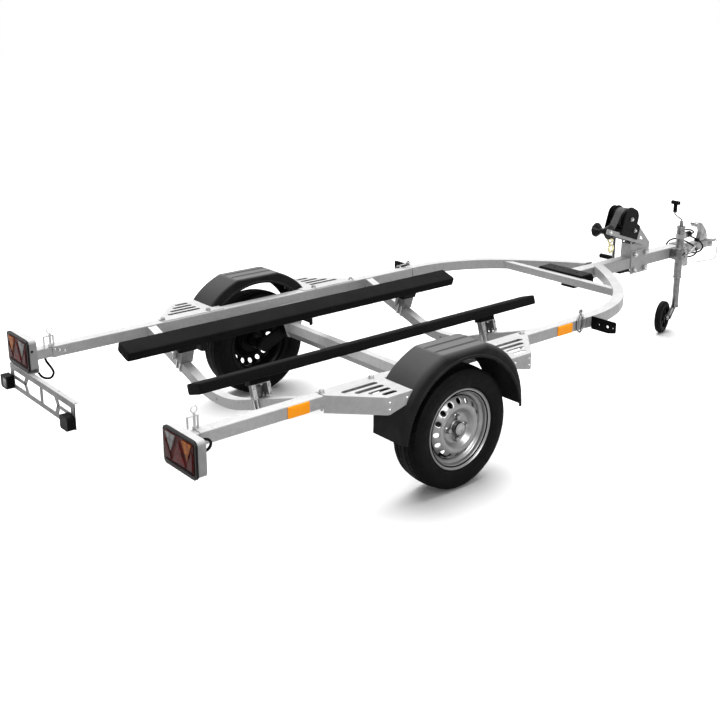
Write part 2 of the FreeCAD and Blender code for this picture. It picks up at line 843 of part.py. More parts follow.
def suspension_arm():
    """Left trailing arm from the axle tube's end back to the stub axle that carries the hub."""
    y1 = wheel_y - tyre_width / 2 - arm_clearance
    y0 = y1 - arm_thickness
    stub_end = wheel_y + disc_offset - hub_flange_thickness - hub_barrel_length + axle_stub_length
    eye = cyl(0, y0, tyre_radius, arm_eye_radius, arm_thickness, Vector(0, 1, 0))
    root = cyl(axle_x, y0, axle_z, arm_root_radius, arm_thickness, Vector(0, 1, 0))
    run = Vector(axle_x, 0, axle_z - tyre_radius)
    length = run.Length
    angle = math.degrees(math.atan2(run.z, run.x))
    web = side_profile([(0, -arm_eye_radius), (length, -arm_root_radius),
                        (length, arm_root_radius), (0, arm_eye_radius)], [0] * 4, y0, y1)
    web.rotate(Vector(0, 0, 0), Vector(0, 1, 0), -angle)
    web.translate(Vector(0, 0, tyre_radius))
    stub = cyl(0, y1, tyre_radius, axle_stub_radius, stub_end - y1, Vector(0, 1, 0))
    inner = cyl(axle_x, axle_half_length, axle_z, axle_stub_radius, y0 - axle_half_length + overrun,
                Vector(0, 1, 0))
    return eye.fuse([root, web, stub, inner]).removeSplitter()


def axle_outline(y0, y1):
    """The six-sided beam between two widths."""
    corners = 6
    pairs = []
    for i in range(corners):
        turn = 2 * math.pi / corners * i
        pairs.append((axle_x + axle_flat * math.cos(turn), axle_z + axle_flat * math.sin(turn)))
    return side_profile(pairs, [0] * corners, y0, y1)


def axle_tube():
    """Six-sided axle beam below the rails."""
    return axle_outline(-axle_half_length, axle_half_length)


def axle_mount():
    """Left gusset plate that hangs the axle beam from the rail's inner face."""
    y0 = rail_inner_y - axle_mount_thickness
    foot = axle_z - axle_flat * math.sqrt(3) / 2
    pairs = [(axle_x - axle_mount_half, rail_bottom + axle_mount_lap),
             (axle_x - axle_mount_half, rail_bottom - axle_mount_round),
             (axle_x - axle_mount_foot, foot), (axle_x + axle_mount_foot, foot),
             (axle_x + axle_mount_half, rail_bottom - axle_mount_round),
             (axle_x + axle_mount_half, rail_bottom + axle_mount_lap)]
    radii = [0, axle_mount_round, axle_mount_round, axle_mount_round, axle_mount_round, 0]
    gusset = side_profile(pairs, radii, y0, rail_inner_y)
    return gusset.cut(axle_outline(y0 - overrun, rail_inner_y + overrun))


def guard_outline(inset, foot):
    """The mudguard's side view, moved in by the inset."""
    half = guard_half_length - inset
    mid = -guard_shift
    knee = guard_knee_z - inset / 2
    top = guard_top_z - inset
    top_half = guard_top_half - inset / 3
    pairs = [(mid - half, foot), (mid - half, knee), (mid - top_half, top),
             (mid + top_half, top), (mid + half, knee), (mid + half, foot)]
    radii = [0, guard_knee_round - inset, guard_top_round - inset,
             guard_top_round - inset, guard_knee_round - inset, 0]
    return pairs, radii


def guard_envelope(inset, y0, y1, foot):
    """The mudguard's outline carried across from y0 to y1."""
    pairs, radii = guard_outline(inset, foot)
    return side_profile(pairs, radii, y0, y1)


def softened(shape, y, radius):
    """Rounds the long edge that the envelope has at one side."""
    edges = []
    for edge in shape.Edges:
        middle = edge.valueAt((edge.FirstParameter + edge.LastParameter) / 2)
        level = abs(middle.y - y) < pin_gap and middle.z > guard_foot_z - overrun / 2
        if level and max(abs(v.Point.y - y) for v in edge.Vertexes) < pin_gap:
            edges.append(edge)
    return shape.makeFillet(radius, edges)


def mudguard():
    """Left mudguard: a sheet with round shoulders, a wall on each side cut to a round arch with a
    rolled edge, and two beads along its top."""
    foot = guard_foot_z - 2 * overrun
    outer = softened(guard_envelope(0, guard_inner_y, guard_outer_y, foot), guard_outer_y,
                     guard_outer_round)
    outer = softened(outer, guard_inner_y, guard_inner_round)
    y0 = guard_inner_y + guard_sheet
    y1 = guard_outer_y - guard_sheet
    inner = softened(guard_envelope(guard_sheet, y0, y1, foot - overrun), y1,
                     guard_outer_round - guard_sheet)
    inner = softened(inner, y0, guard_inner_round - guard_sheet)
    roll = cyl(-guard_shift, guard_inner_y, tyre_radius, guard_arch_radius + guard_roll_width,
               guard_width, Vector(0, 1, 0))
    roll = roll.cut(cyl(-guard_shift, y0 + guard_roll, tyre_radius, guard_arch_radius + guard_roll_width,
                        y1 - y0 - 2 * guard_roll, Vector(0, 1, 0)))
    shell = outer.cut(inner).fuse(roll.common(outer))
    for y in (guard_inner_y + guard_width / 3, guard_outer_y - guard_width / 3):
        z = guard_top_z + guard_bead_rise - guard_bead_radius
        bead = cyl(-guard_shift - guard_bead_half, y, z, guard_bead_radius, 2 * guard_bead_half,
                   Vector(1, 0, 0))
        shell = shell.fuse(bead.cut(inner))
    arch = cyl(-guard_shift, guard_inner_y - overrun, tyre_radius, guard_arch_radius,
               guard_width + 2 * overrun, Vector(0, 1, 0))
    below = block(-2 * guard_half_length, 2 * guard_half_length, guard_inner_y - overrun,
                  guard_outer_y + overrun, foot - 2 * overrun, guard_foot_z)
    return shell.cut(arch).cut(below).removeSplitter()


def wing(side):
    """Left mudguard bracket: folded sheet with a slotted top, a slanting face and an end face."""
    x_rail = side * wing_rail_x - guard_shift
    x_corner = side * wing_corner_x - guard_shift
    x_inner = side * wing_inner_x - guard_shift
    z0 = rail_top
    z1 = rail_top + wing_sheet
    y0 = rail_inner_y + rail_corner
    y1 = frame_half_width
    pairs = [(x_rail, y0), (x_rail, y1), (x_corner, wing_outer_y), (x_inner, wing_outer_y),
             (x_inner, y0)]
    top = plan_profile(pairs, [0] * 5, z0, z1)
    full = plan_profile([(x_rail, y1), (x_corner, wing_outer_y), (x_inner, wing_outer_y),
                         (x_inner, y1)], [0] * 4, z1 - wing_depth, z1)
    run = Vector(x_corner - x_rail, wing_outer_y - y1, 0)
    run.normalize()
    shift = wing_sheet / abs(run.x)
    x_far = x_inner - side * overrun
    y_in = wing_outer_y - wing_sheet
    inner = plan_profile([(x_rail, y1 - shift), (x_corner - side * wing_sheet / 2, y_in), (x_far, y_in),
                          (x_far, y1 - shift)],
                         [0] * 4, z1 - wing_depth - overrun, z0)
    skirt = full.cut(inner)
    skirt = skirt.cut(block(-wing_rail_x * 2, wing_rail_x * 2, 0, frame_half_width,
                            rail_bottom - wing_depth, rail_top))
    corner_z = z1 - wing_depth
    trim = side_profile([(x_inner, corner_z - overrun), (x_inner, corner_z + wing_chamfer * 2),
                         (x_inner + side * wing_chamfer * 2, corner_z - overrun)], [0] * 3,
                        frame_half_width, wing_outer_y + overrun)
    body = top.fuse(skirt).cut(trim).removeSplitter()
    x_start = side * wing_slot_inner - guard_shift
    for i in range(wing_slot_count):
        y = frame_half_width + wing_slot_edge + wing_slot_pitch * i
        x_end = x_start + side * (wing_slot_length - wing_slot_shortening * i)
        half = wing_slot_width / 2
        slot = plan_profile([(x_start, y - half), (x_end, y - half), (x_end, y + half), (x_start, y + half)],
                            [half - pin_gap] * 4, z0 - overrun, z1 + overrun)
        body = body.cut(slot)
    body = body.cut(guard_envelope(0, guard_inner_y, guard_outer_y, guard_foot_z - overrun))
    for x in (side * (wing_rail_x - 2 * wing_bolt_head) - guard_shift,
              side * (wing_inner_x + wing_slot_pitch * 2) - guard_shift):
        head = cyl(x, rail_mid_y, z1, wing_bolt_radius * 2, wing_bolt_head, Vector(0, 0, 1))
        body = body.fuse(head)
    solids = sorted(body.Solids, key=lambda s: s.Volume)
    return solids[-1]


def lamp_carrier():
    """Left lamp carrier: a tube that slides in the rail, with a plate behind the lamp."""
    width = rail_width - 2 * rail_wall - 2 * slide_gap
    height = rail_height - 2 * rail_wall - 2 * slide_gap
    x0 = -rail_rear - carrier_reach
    tube = box_tube(x0, -rail_rear + carrier_insert, rail_mid_y, rail_mid_z, width, height,
                    carrier_tube_wall, rail_corner)
    plate_y0 = rail_mid_y - width / 2
    back = block(x0 - carrier_plate_sheet, x0, plate_y0, lamp_centre_y + lamp_width / 3,
                 rail_mid_z - height, rail_mid_z + height / 2)
    return tube.fuse(back).removeSplitter()


def tail_lamp():
    """Left tail lamp's housing, with a wider rim at the back of the trailer."""
    x0 = -rail_rear - carrier_reach - carrier_plate_sheet
    housing = lamp_slab(lens_inset / 3, x0 - lamp_depth + lamp_rim_depth, x0)
    rim = lamp_slab(0, x0 - lamp_depth, x0 - lamp_depth + lamp_rim_depth)
    well = lamp_slab(lens_inset, x0 - lamp_depth - overrun, x0 - lamp_depth + lens_depth)
    return housing.fuse(rim).cut(well).removeSplitter()


def lamp_slab(inset, x0, x1):
    """The lamp's rounded rectangle, moved in by the inset, between two places along the trailer."""
    y0 = lamp_centre_y - lamp_width / 2 + inset
    y1 = lamp_centre_y + lamp_width / 2 - inset
    z0 = lamp_bottom + inset
    z1 = lamp_bottom + lamp_height - inset
    pairs = [(y0, z0), (y1, z0), (y1, z1), (y0, z1)]
    return cross_profile(pairs, [lamp_corner - inset / 2] * len(pairs), x0, x1)


def lamp_lens():
    """Left lamp's lens, seated in the rim."""
    x0 = -rail_rear - carrier_reach - carrier_plate_sheet - lamp_depth
    return lamp_slab(lens_inset + fit_gap, x0 - lens_proud, x0 + lens_depth)


def holder_window(y_side, pairs):
    """A rounded window through the plate holder; its pairs are (share of the width, height), and
    the share is taken from the holder's edge at y_side."""
    x0 = -rail_rear - carrier_reach - lamp_depth - carrier_plate_sheet
    way = 1 if y_side < holder_outer_y else -1
    z0 = holder_top - holder_height
    points = [(y_side + way * share * holder_width, z0 + height) for share, height in pairs]
    return cross_profile(points, [holder_window_round] * len(points), x0 - overrun, x0 + overrun)


def plate_holder():
    """Holder for the number plate: a folded sheet with two large pointed windows beside its middle
    and two small ones at each end, hung from the left lamp carrier."""
    x0 = -rail_rear - carrier_reach - lamp_depth - carrier_plate_sheet
    x1 = x0 + holder_sheet
    y1 = holder_outer_y
    y0 = y1 - holder_width
    z1 = holder_top
    z0 = z1 - holder_height
    body = block(x0, x1, y0, y1, z0, z1).fuse(block(x0, x0 + holder_flange, y0, y1, z1 - holder_sheet, z1))
    low = holder_rib
    high = holder_height - holder_rib - holder_sheet
    mid = holder_height / 2
    middle = (holder_width - holder_mid_rib) / 2 / holder_width
    rib = holder_rib / holder_width
    end = holder_end_band / holder_width
    side = holder_window_side
    nose = holder_window_nose
    for edge in (y0, y1):
        body = body.cut(holder_window(edge, [(side, low), (middle, low), (middle, high), (side, high),
                                             (nose, mid)]))
        body = body.cut(holder_window(edge, [(end, mid + holder_mid_rib / 2),
                                             (nose - rib, mid + holder_mid_rib / 2),
                                             (side - rib, high), (end, high)]))
        body = body.cut(holder_window(edge, [(end, low), (side - rib, low),
                                             (nose - rib, mid - holder_mid_rib / 2),
                                             (end, mid - holder_mid_rib / 2)]))
    for share in (holder_window_nose, 1 - holder_window_nose):
        body = body.cut(cyl(x0 + holder_flange * 2 / 3, y0 + share * holder_width, z1 - overrun,
                            holder_hole_radius, 2 * overrun, Vector(0, 0, 1)))
    back = -rail_rear - carrier_reach
    carrier_low = rail_mid_z - rail_height + 2 * (rail_wall + slide_gap)
    foot = block(x0, back, rail_inner_y, frame_half_width, z1 - holder_sheet, z1)
    hanger = block(back - carrier_plate_sheet, back, rail_inner_y, frame_half_width, z1 - holder_sheet,
                   carrier_low)
    return body.fuse([foot, hanger]).removeSplitter()


def plate_lamps():
    """Two small lamps at the ends of the plate holder, as separate solids."""
    x0 = -rail_rear - carrier_reach - lamp_depth - carrier_plate_sheet
    z0 = holder_top - holder_height
    lamps = []
    for y in (holder_outer_y - plate_lamp_width / 2, holder_outer_y - holder_width):
        pairs = [(y, z0), (y + plate_lamp_width, z0), (y + plate_lamp_width, z0 + plate_lamp_height),
                 (y, z0 + plate_lamp_height)]
        lamps.append(cross_profile(pairs, [plate_lamp_round] * len(pairs), x0 - plate_lamp_depth, x0))
    return Part.Compound(lamps)


def carrier_pins():
    """Spring pins with a ring, and the hoops that they are lifted against, on both rails."""
    pieces = []
    for side in (-1, 1):
        x = -rail_rear - pin_set_back - side * overrun
        y = side * (rail_inner_y + rail_corner + pin_hoop_radius)
        top = rail_top + pin_hoop_height
        half = pin_hoop_width / 2
        hoop = rod([Vector(x - half, y, rail_top), Vector(x - half, y, top), Vector(x + half, y, top),
                    Vector(x + half, y, rail_top)], pin_hoop_radius)
        pin_x = x + half / 3
        pin = cyl(pin_x, y, rail_top, pin_radius, pin_top, Vector(0, 0, 1))
        collar = cyl(pin_x, y, rail_top, 2 * pin_radius, 2 * pin_radius, Vector(0, 0, 1))
        eye = Vector(pin_x, y, rail_top + pin_top + pin_ring_radius)
        ring = Part.makeTorus(pin_ring_radius, pin_ring_wire, eye, Vector(0, 1, 0))
        pieces.append(hoop.fuse([pin, collar, ring]).removeSplitter())
    return Part.Compound(pieces)


def arm_point(back, up):
    """A point on the sloping arm: its distance back from the arm's foot and its height over it."""
    rise = math.radians(post_arm_rise)
    x = post_x + arm_foot_back - back * math.cos(rise) + up * math.sin(rise)
    z = post_top + back * math.sin(rise) + up * math.cos(rise)
    return Vector(x, 0, z)


def on_arm(shape, back, up):
    """Turns a piece made about the Y axis to the arm's slope and sets it on the arm."""
    shape.rotate(Vector(0, 0, 0), Vector(0, 1, 0), post_arm_rise)
    shape.translate(arm_point(back, up))
    return shape


def winch_post():
    """Post on the drawbar: side plates with a peaked gusset and windows, and the arm that reaches
    back to the bow roller."""
    outer = drawbar_half
    inner = outer - post_sheet
    x1 = post_x + post_length
    low = drawbar_top
    peak_x = x1 - gusset_back
    pairs = [(post_x, low), (x1, low), (x1, post_top - post_lap / 2), (peak_x, gusset_top),
             (post_x + arm_foot_back, post_top + post_lap), (post_x, post_top + post_lap)]
    side = side_profile(pairs, [0] * len(pairs), inner, outer)
    inset = gusset_inset
    window = [(peak_x - inset / 2, post_top + inset / 2), (peak_x + gusset_nose / 2, post_top + inset / 2),
              (peak_x + inset / 3, post_top + 2 * inset)]
    side = side.cut(side_profile(window, [pin_radius] * len(window), inner - overrun, outer + overrun))
    slit = [(post_x + inset / 2, post_top), (post_x + 2 * inset, post_top),
            (post_x + 2 * inset, post_top + inset / 2), (post_x + inset / 2, post_top + inset / 2)]
    side = side.cut(side_profile(slit, [pin_radius - pin_gap] * len(slit), inner - overrun, outer + overrun))
    cap = block(post_x, peak_x, -inner, inner, post_top - post_sheet, post_top)
    rear = block(post_x, post_x + post_sheet, -inner, inner, drawbar_top, post_top - post_sheet)
    front = block(x1 - post_sheet, x1, -inner, inner, drawbar_top, post_top - post_lap)
    half = arm_half_width
    arm = block(-post_arm_length, arm_foot_back, -half, half, 0, post_arm_height)
    hollow = block(-post_arm_length - overrun, post_length, -half + post_sheet, half - post_sheet,
                   -overrun, post_arm_height - post_sheet)
    slot = block(-post_arm_length - overrun, -post_arm_length + roller_slot, -half + post_sheet,
                 half - post_sheet, -overrun, post_arm_height + overrun)
    arm = on_arm(arm.cut(hollow).cut(slot), 0, 0)
    body = side.fuse([mirrored(side), cap, rear, front, arm])
    at = arm_point(roller_back, post_arm_height / 2)
    pin = cyl(at.x, -half - pin_overhang, at.z, roller_pin_radius, 2 * (half + pin_overhang),
              Vector(0, 1, 0))
    return body.fuse(pin).removeSplitter()


def post_clamp():
    """Two plates on the drawbar's sides below the post, drawn together by two bolts below it."""
    x0 = post_x + overrun
    x1 = x0 + clamp_length
    z0 = drawbar_bottom - clamp_under
    z1 = drawbar_top + clamp_over
    plate_left = block(x0, x1, drawbar_half, drawbar_half + clamp_sheet, z0, z1)
    reach = drawbar_half + clamp_sheet + pin_overhang
    z = z0 + clamp_bolt_inset * 2 / 3
    bolts = [cyl(x, -reach, z, clamp_bolt_radius, 2 * reach, Vector(0, 1, 0))
             for x in (x0 + clamp_bolt_inset, x1 - clamp_bolt_inset)]
    return plate_left.fuse([mirrored(plate_left)] + bolts).removeSplitter()


def bow_roller():
    """Waisted rubber roller: a cone to each flat end rim, turned about its pin."""
    half = arm_half_width - post_sheet - slide_gap
    bore = roller_pin_radius + pin_gap
    rim = half - roller_rim_width
    neck = roller_neck_half
    pairs = [(-half, bore), (half, bore), (half, roller_end_radius), (rim, roller_end_radius),
             (neck, roller_neck_radius), (-neck, roller_neck_radius), (-rim, roller_end_radius),
             (-half, roller_end_radius)]
    roller = turned(pairs)
    roller.translate(arm_point(roller_back, post_arm_height / 2))
    return roller


def winch_frame():
    """Winch frame: two round-topped side plates with a nose towards the post, on a base that is
    seated on the arm, and two ties between them."""
    half = winch_half_width
    sheet = winch_side_sheet
    height = winch_side_height
    pairs = [(-winch_side_back, -winch_skirt), (-winch_side_back, height), (winch_side_front, height),
             (winch_side_front, winch_nose_height + winch_skirt), (winch_side_nose, winch_nose_height),
             (winch_side_nose, -winch_skirt)]
    radii = [0, winch_top_round, winch_top_round, winch_skirt, winch_skirt, 0]
    near = side_profile(pairs, radii, -half, sheet - half)
    far = side_profile(pairs, radii, half - sheet, half)
    base = block(-winch_side_back, winch_side_nose, -half, half, 0, sheet)
    pieces = [far, base]
    for x in (-winch_side_back + 2 * winch_tie_radius, winch_side_nose - 2 * winch_tie_radius):
        pieces.append(cyl(x, -half, winch_nose_height / 2, winch_tie_radius, 2 * half, Vector(0, 1, 0)))
    body = near.fuse(pieces)
    body = body.cut(cyl(0, -half - overrun, winch_shaft_height, winch_shaft_radius + pin_gap,
                        2 * (half + overrun), Vector(0, 1, 0)))
    body = body.cut(cyl(crank_back, -half - overrun, crank_up, crank_shaft_radius + pin_gap,
                        2 * (half + overrun), Vector(0, 1, 0)))
    return on_arm(body.removeSplitter(), winch_back, post_arm_height)


def winch_drum():
    """Winch drum on its shaft: two cheeks with the wound strap between them."""
    half = winch_half_width
    shaft = cyl(0, -half - pin_overhang, 0, winch_shaft_radius, 2 * (half + pin_overhang),
                Vector(0, 1, 0))
    roll = cyl(0, -drum_half_width, 0, drum_radius, 2 * drum_half_width, Vector(0, 1, 0))
    near = cyl(0, -drum_half_width - drum_cheek_sheet, 0, drum_cheek_radius, drum_cheek_sheet,
               Vector(0, 1, 0))
    far = cyl(0, drum_half_width, 0, drum_cheek_radius, drum_cheek_sheet, Vector(0, 1, 0))
    drum = shaft.fuse([roll, near, far]).removeSplitter()
    return on_arm(drum, winch_back, post_arm_height + winch_shaft_height)


def winch_crank():
    """Crank on the left side: shaft, flat arm hanging down and a grip that points outwards."""
    half = winch_half_width
    out = half + crank_stand_off
    shaft = cyl(0, -half - pin_overhang, 0, crank_shaft_radius, 2 * half + crank_stand_off
                + pin_overhang + crank_arm_sheet, Vector(0, 1, 0))
    reach = crank_arm_length
    wide = crank_arm_width / 2
    arm = block(-wide, wide, out, out + crank_arm_sheet, -reach, 0)
    arm = arm.fuse([cyl(0, out, 0, wide, crank_arm_sheet, Vector(0, 1, 0)),
                    cyl(0, out, -reach, wide, crank_arm_sheet, Vector(0, 1, 0))])
    grip = cyl(0, out, -reach, crank_grip_radius, crank_grip_length, Vector(0, 1, 0))
    crank = shaft.fuse([arm, grip]).removeSplitter()
    crank.translate(crank_point())
    return crank


def strap_tail():
    """Strap's free end: from the wound strap over the arm and down behind the roller."""
    drum = arm_point(winch_back, post_arm_height + winch_shaft_height)
    bend = arm_point(post_arm_length - roller_slot + tail_gap, post_arm_height)
    low = Vector(bend.x, 0, bend.z - tail_drop)
    run = drum.sub(bend)
    off = drum_radius + fit_gap
    reach = math.sqrt(run.Length ** 2 - off ** 2)
    aim = math.atan2(run.z, run.x) + math.asin(off / run.Length)
    top = bend.add(Vector(reach * math.cos(aim), 0, reach * math.sin(aim)))
    over = Vector(-tail_sheet * math.sin(aim), 0, tail_sheet * math.cos(aim))
    pairs = [(top.x, top.z), (bend.x, bend.z), (low.x, low.z), (low.x - tail_sheet, low.z),
             (bend.x - tail_sheet, bend.z + tail_sheet / 2), (top.x + over.x, top.z + over.z)]
    return side_profile(pairs, [0] * len(pairs), -tail_width / 2, tail_width / 2)


def snap_hook():
    """Snap hook under the strap's end: an eye bar, a round shank and the bent hook."""
    bend = arm_point(post_arm_length - roller_slot + tail_gap, post_arm_height)
    x = bend.x - tail_sheet / 2
    z = bend.z - tail_drop - hook_wire
    half = tail_width / 2
    bar = [Vector(x, -half, z), Vector(x, half, z), Vector(x, hook_eye_radius / 2, z - 2 * hook_eye_radius),
           Vector(x, -hook_eye_radius / 2, z - 2 * hook_eye_radius), Vector(x, -half, z)]
    eye = rod(bar, hook_wire)
    low = z - 2 * hook_eye_radius - hook_length
    curl = hook_eye_radius * 3 / 2
    shape = [Vector(x, 0, z - 2 * hook_eye_radius), Vector(x, 0, low + curl), Vector(x + curl / 3, 0, low),
             Vector(x + curl * 5 / 3, 0, low), Vector(x + 2 * curl, 0, low + curl),
             Vector(x + curl * 5 / 3, 0, low + 2 * curl)]
    return eye.fuse([rod(shape, hook_wire), Part.makeSphere(hook_wire, bar[0])]).removeSplitter()


def crank_point():
    """Centre of the crank shaft."""
    up = post_arm_height + crank_up
    return arm_point(winch_back - crank_back, up)


def coupling_section(x, half, low, high):
    """One rounded section across the coupling."""
    points = [Vector(x, -half, low), Vector(x, half, low), Vector(x, half, high), Vector(x, -half, high)]
    return rounded_wire(points, [coupling_corner] * len(points))


def coupling_head():
    """Pressed coupling: a sleeve over the drawbar's end, a waisted neck, the round cup for the ball
    with a lip ahead of it, and a lug below the sleeve for the lead's bracket."""
    half = drawbar_half + coupling_sheet
    x0 = drawbar_front - coupling_sleeve_length
    ball_x = coupling_ball_x
    ball_z = coupling_ball_z
    low = drawbar_bottom - coupling_sheet
    high = drawbar_top + coupling_sheet
    crown = ball_z + coupling_head_radius
    rim = ball_z - coupling_rim_drop
    third = coupling_reach / 4
    sleeve = block(x0, drawbar_front, -half, half, low, high)
    sections = [coupling_section(drawbar_front, half, low, high),
                coupling_section(drawbar_front + third, half * 3 / 4, low, crown - coupling_corner),
                coupling_section(drawbar_front + 2 * third, half * 3 / 4, low + coupling_sheet, crown),
                coupling_section(ball_x, half * 2 / 3, rim, crown)]
    neck = Part.makeLoft(sections, True, True)
    cup = Part.makeSphere(coupling_head_radius, Vector(ball_x, 0, ball_z))
    cup = cup.cut(block(ball_x - 2 * coupling_head_radius, ball_x + 2 * coupling_head_radius,
                        -2 * coupling_head_radius, 2 * coupling_head_radius,
                        ball_z - 2 * coupling_head_radius, rim))
    tip = ball_x + coupling_lip_reach
    lip = plan_profile([(ball_x, -coupling_lip_half), (tip, -coupling_lip_half), (tip, coupling_lip_half),
                        (ball_x, coupling_lip_half)],
                       [0, coupling_lip_half / 2, coupling_lip_half / 2, 0],
                       ball_z + ball_radius / 2, ball_z + ball_radius / 2 + coupling_lip_sheet)
    stub_x = x0 + coupling_sleeve_length / 2
    stub = side_profile([(stub_x, low + overrun), (stub_x + stub_length, low + overrun),
                         (stub_x + stub_length, low - stub_drop),
                         (stub_x + stub_length / 3, low - stub_drop)],
                        [0, 0, coupling_corner / 2, coupling_corner / 2], -half, coupling_sheet * 2 - half)
    body = sleeve.fuse([neck, cup, lip, stub])
    body = body.cut(block(x0 - overrun, drawbar_front, -drawbar_half, drawbar_half, drawbar_bottom,
                          drawbar_top))
    socket = Part.makeSphere(ball_radius + ball_gap, Vector(ball_x, 0, ball_z))
    mouth = cyl(ball_x, 0, ball_z - 2 * coupling_head_radius, ball_radius + ball_gap,
                2 * coupling_head_radius, Vector(0, 0, 1))
    return body.cut(socket).cut(mouth).removeSplitter()


def coupling_lever():
    """Grip lever that rises from the head and curves back to an upturned end."""
    x1 = coupling_ball_x
    z0 = coupling_ball_z + coupling_head_radius + fit_gap
    pairs = [(x1 + x, z0 + z) for x, z in lever_back + lever_belly]
    radii = lever_back_rounds + lever_belly_rounds
    return side_profile(pairs, radii, -coupling_lever_half, coupling_lever_half)


def coupling_catch():
    """Black release catch in front of the lever's foot."""
    x1 = coupling_ball_x - coupling_head_radius * 2 - coupling_head_radius
    z0 = coupling_ball_z + coupling_head_radius + fit_gap
    return block(x1 - catch_half, x1 - fit_gap - catch_half / 2, -catch_half, catch_half, z0,
                 z0 + catch_half)


def jockey_sleeve():
    """Outer tube of the jockey wheel with its cap, and the collar that its crank turns in."""
    y = -jockey_y
    top = jockey_tube_top
    tube = cyl(jockey_x, y, jockey_tube_bottom, jockey_tube_radius, top - jockey_tube_bottom,
               Vector(0, 0, 1))
    wall = jockey_tube_radius - jockey_inner_radius - slide_gap
    bore = cyl(jockey_x, y, jockey_tube_bottom - overrun, jockey_tube_radius - wall,
               top - jockey_tube_bottom - wall + overrun, Vector(0, 0, 1))
    cap = cyl(jockey_x, y, top - jockey_cap_height, jockey_tube_radius + pin_ring_wire, jockey_cap_height,
              Vector(0, 0, 1))
    collar = cyl(jockey_x, y, top, jockey_collar_radius, jockey_collar_height, Vector(0, 0, 1))
    start = Vector(jockey_x, y, top)
    bend = start.add(Vector(0, 0, jockey_collar_height + 2 * jockey_crank_radius))
    over = bend.add(Vector(-jockey_crank_throw, 0, jockey_crank_rise))
    end = over.add(Vector(0, 0, jockey_knob_rise))
    crank = rod([start, bend, over, end], jockey_crank_radius)
    return tube.fuse([cap, collar, crank]).cut(bore).removeSplitter()


def jockey_knob():
    """Black grip on the jockey wheel's crank: a short stem with a bar across its end."""
    y = -jockey_y
    z0 = jockey_tube_top + jockey_collar_height + 2 * jockey_crank_radius + jockey_crank_rise
    z1 = z0 + jockey_knob_rise
    x = jockey_x - jockey_crank_throw
    stem = cyl(x, y, z0 + jockey_knob_radius, jockey_knob_radius, z1 - z0, Vector(0, 0, 1))
    bar = cyl(x, y - jockey_knob_length / 2, z1 + jockey_knob_radius, jockey_knob_radius, jockey_knob_length,
              Vector(0, 1, 0))
    bore = cyl(x, y, z0 - overrun, jockey_crank_radius, z1 - z0 + overrun, Vector(0, 0, 1))
    return stem.fuse(bar).cut(bore).removeSplitter()


def jockey_clamp():
    """Black clamp block between the drawbar and the jockey tube, with its bright handle."""
    y = -jockey_y
    z0 = drawbar_mid_z - jockey_clamp_height / 2
    half = jockey_clamp_width / 2
    y0 = y - jockey_tube_radius - clamp_sheet
    pairs = [(jockey_x - half, -drawbar_half), (jockey_x - half, y), (jockey_x - half / 2, y0),
             (jockey_x + half / 2, y0), (jockey_x + half, y), (jockey_x + half, -drawbar_half)]
    body = plan_profile(pairs, [0, clamp_sheet, clamp_sheet, clamp_sheet, clamp_sheet, 0], z0,
                        z0 + jockey_clamp_height)
    body = body.cut(cyl(jockey_x, y, z0 - overrun, jockey_tube_radius, jockey_clamp_height + 2 * overrun,
                        Vector(0, 0, 1)))
    screw = Vector(jockey_x, y0, drawbar_mid_z)
    out = screw.add(Vector(0, -2 * clamp_sheet, 0))
    reach = Vector(jockey_clamp_height, 0, clamp_sheet)
    return body.fuse(rod([screw.add(Vector(0, clamp_sheet / 2, 0)), out, out.add(reach)],
                         clamp_handle_radius)).removeSplitter()


def cord_tube(points, diameter):
    """A round cord along straight runs joined by tangent arcs, each as large as its runs allow.
    Gives the solid and the arcs' radii."""
    edges = []
    radii = []
    at = points[0]
    for before, corner, after in zip(points, points[1:], points[2:]):
        back = before.sub(corner)
        ahead = after.sub(corner)
        reach = cord_arc_share * min(back.Length, ahead.Length)
        back.normalize()
        ahead.normalize()
        half_turn = (math.pi - back.getAngle(ahead)) / 2
        radius = reach / math.tan(half_turn)
        radii.append(round(radius, 1))
        bisector = back.add(ahead)
        bisector.normalize()
        start = corner.add(back.multiply(reach))
        end = corner.add(ahead.multiply(reach))
        middle = corner.add(bisector.multiply(radius / math.cos(half_turn) - radius))
        edges.append(Part.LineSegment(at, start).toShape())
        edges.append(Part.Arc(start, middle, end).toShape())
        at = end
    edges.append(Part.LineSegment(at, points[-1]).toShape())
    path = Part.Wire(edges)
    section = Part.Wire(Part.makeCircle(diameter / 2, points[0], points[1].sub(points[0])))
    tube = path.makePipeShell([section], True, False)
    expected = math.pi * (diameter / 2) ** 2 * path.Length
    print("cord radii", min(radii), radii, "length", round(path.Length),
          "volume share", round(tube.Volume / expected, 3))
    return tube


def nose_point(ahead, left, up):
    """A point measured from the drawbar's front end."""
    return Vector(drawbar_front + ahead, left, drawbar_mid_z + up)


def lead_ends():
    """The grommet's root and the lead's first two points, then its last two at the plug's tail."""
    root = nose_point(-grommet_back, -drawbar_half, grommet_up)
    slant = Vector(1, -1, 0)
    slant.normalize()
    start = root + slant * grommet_length
    end = Vector(jockey_x + jockey_tube_radius + park_cup_length + plug_length + plug_tail_length,
                 -jockey_y, park_height)
    return root, [start, start + slant * lead_exit], [end + Vector(lead_exit, 0, 0), end]


def trailer_lead():
    """Electric lead: out of the drawbar, wound round the coupling and back to its parked plug."""
    first, last = lead_ends()[1:]
    return cord_tube(first + [nose_point(*point) for point in lead_points] + last, lead_diameter)


def lead_grommet():
    """Slanting rubber grommet on the drawbar's side."""
    root, first = lead_ends()[:2]
    run = first[0].sub(root)
    back = root - run
    full = Part.makeCylinder(grommet_radius, 2 * run.Length, back, run)
    return full.cut(block(root.x - 3 * grommet_length, root.x + 3 * grommet_length, -drawbar_half,
                          drawbar_half, drawbar_bottom, drawbar_top))


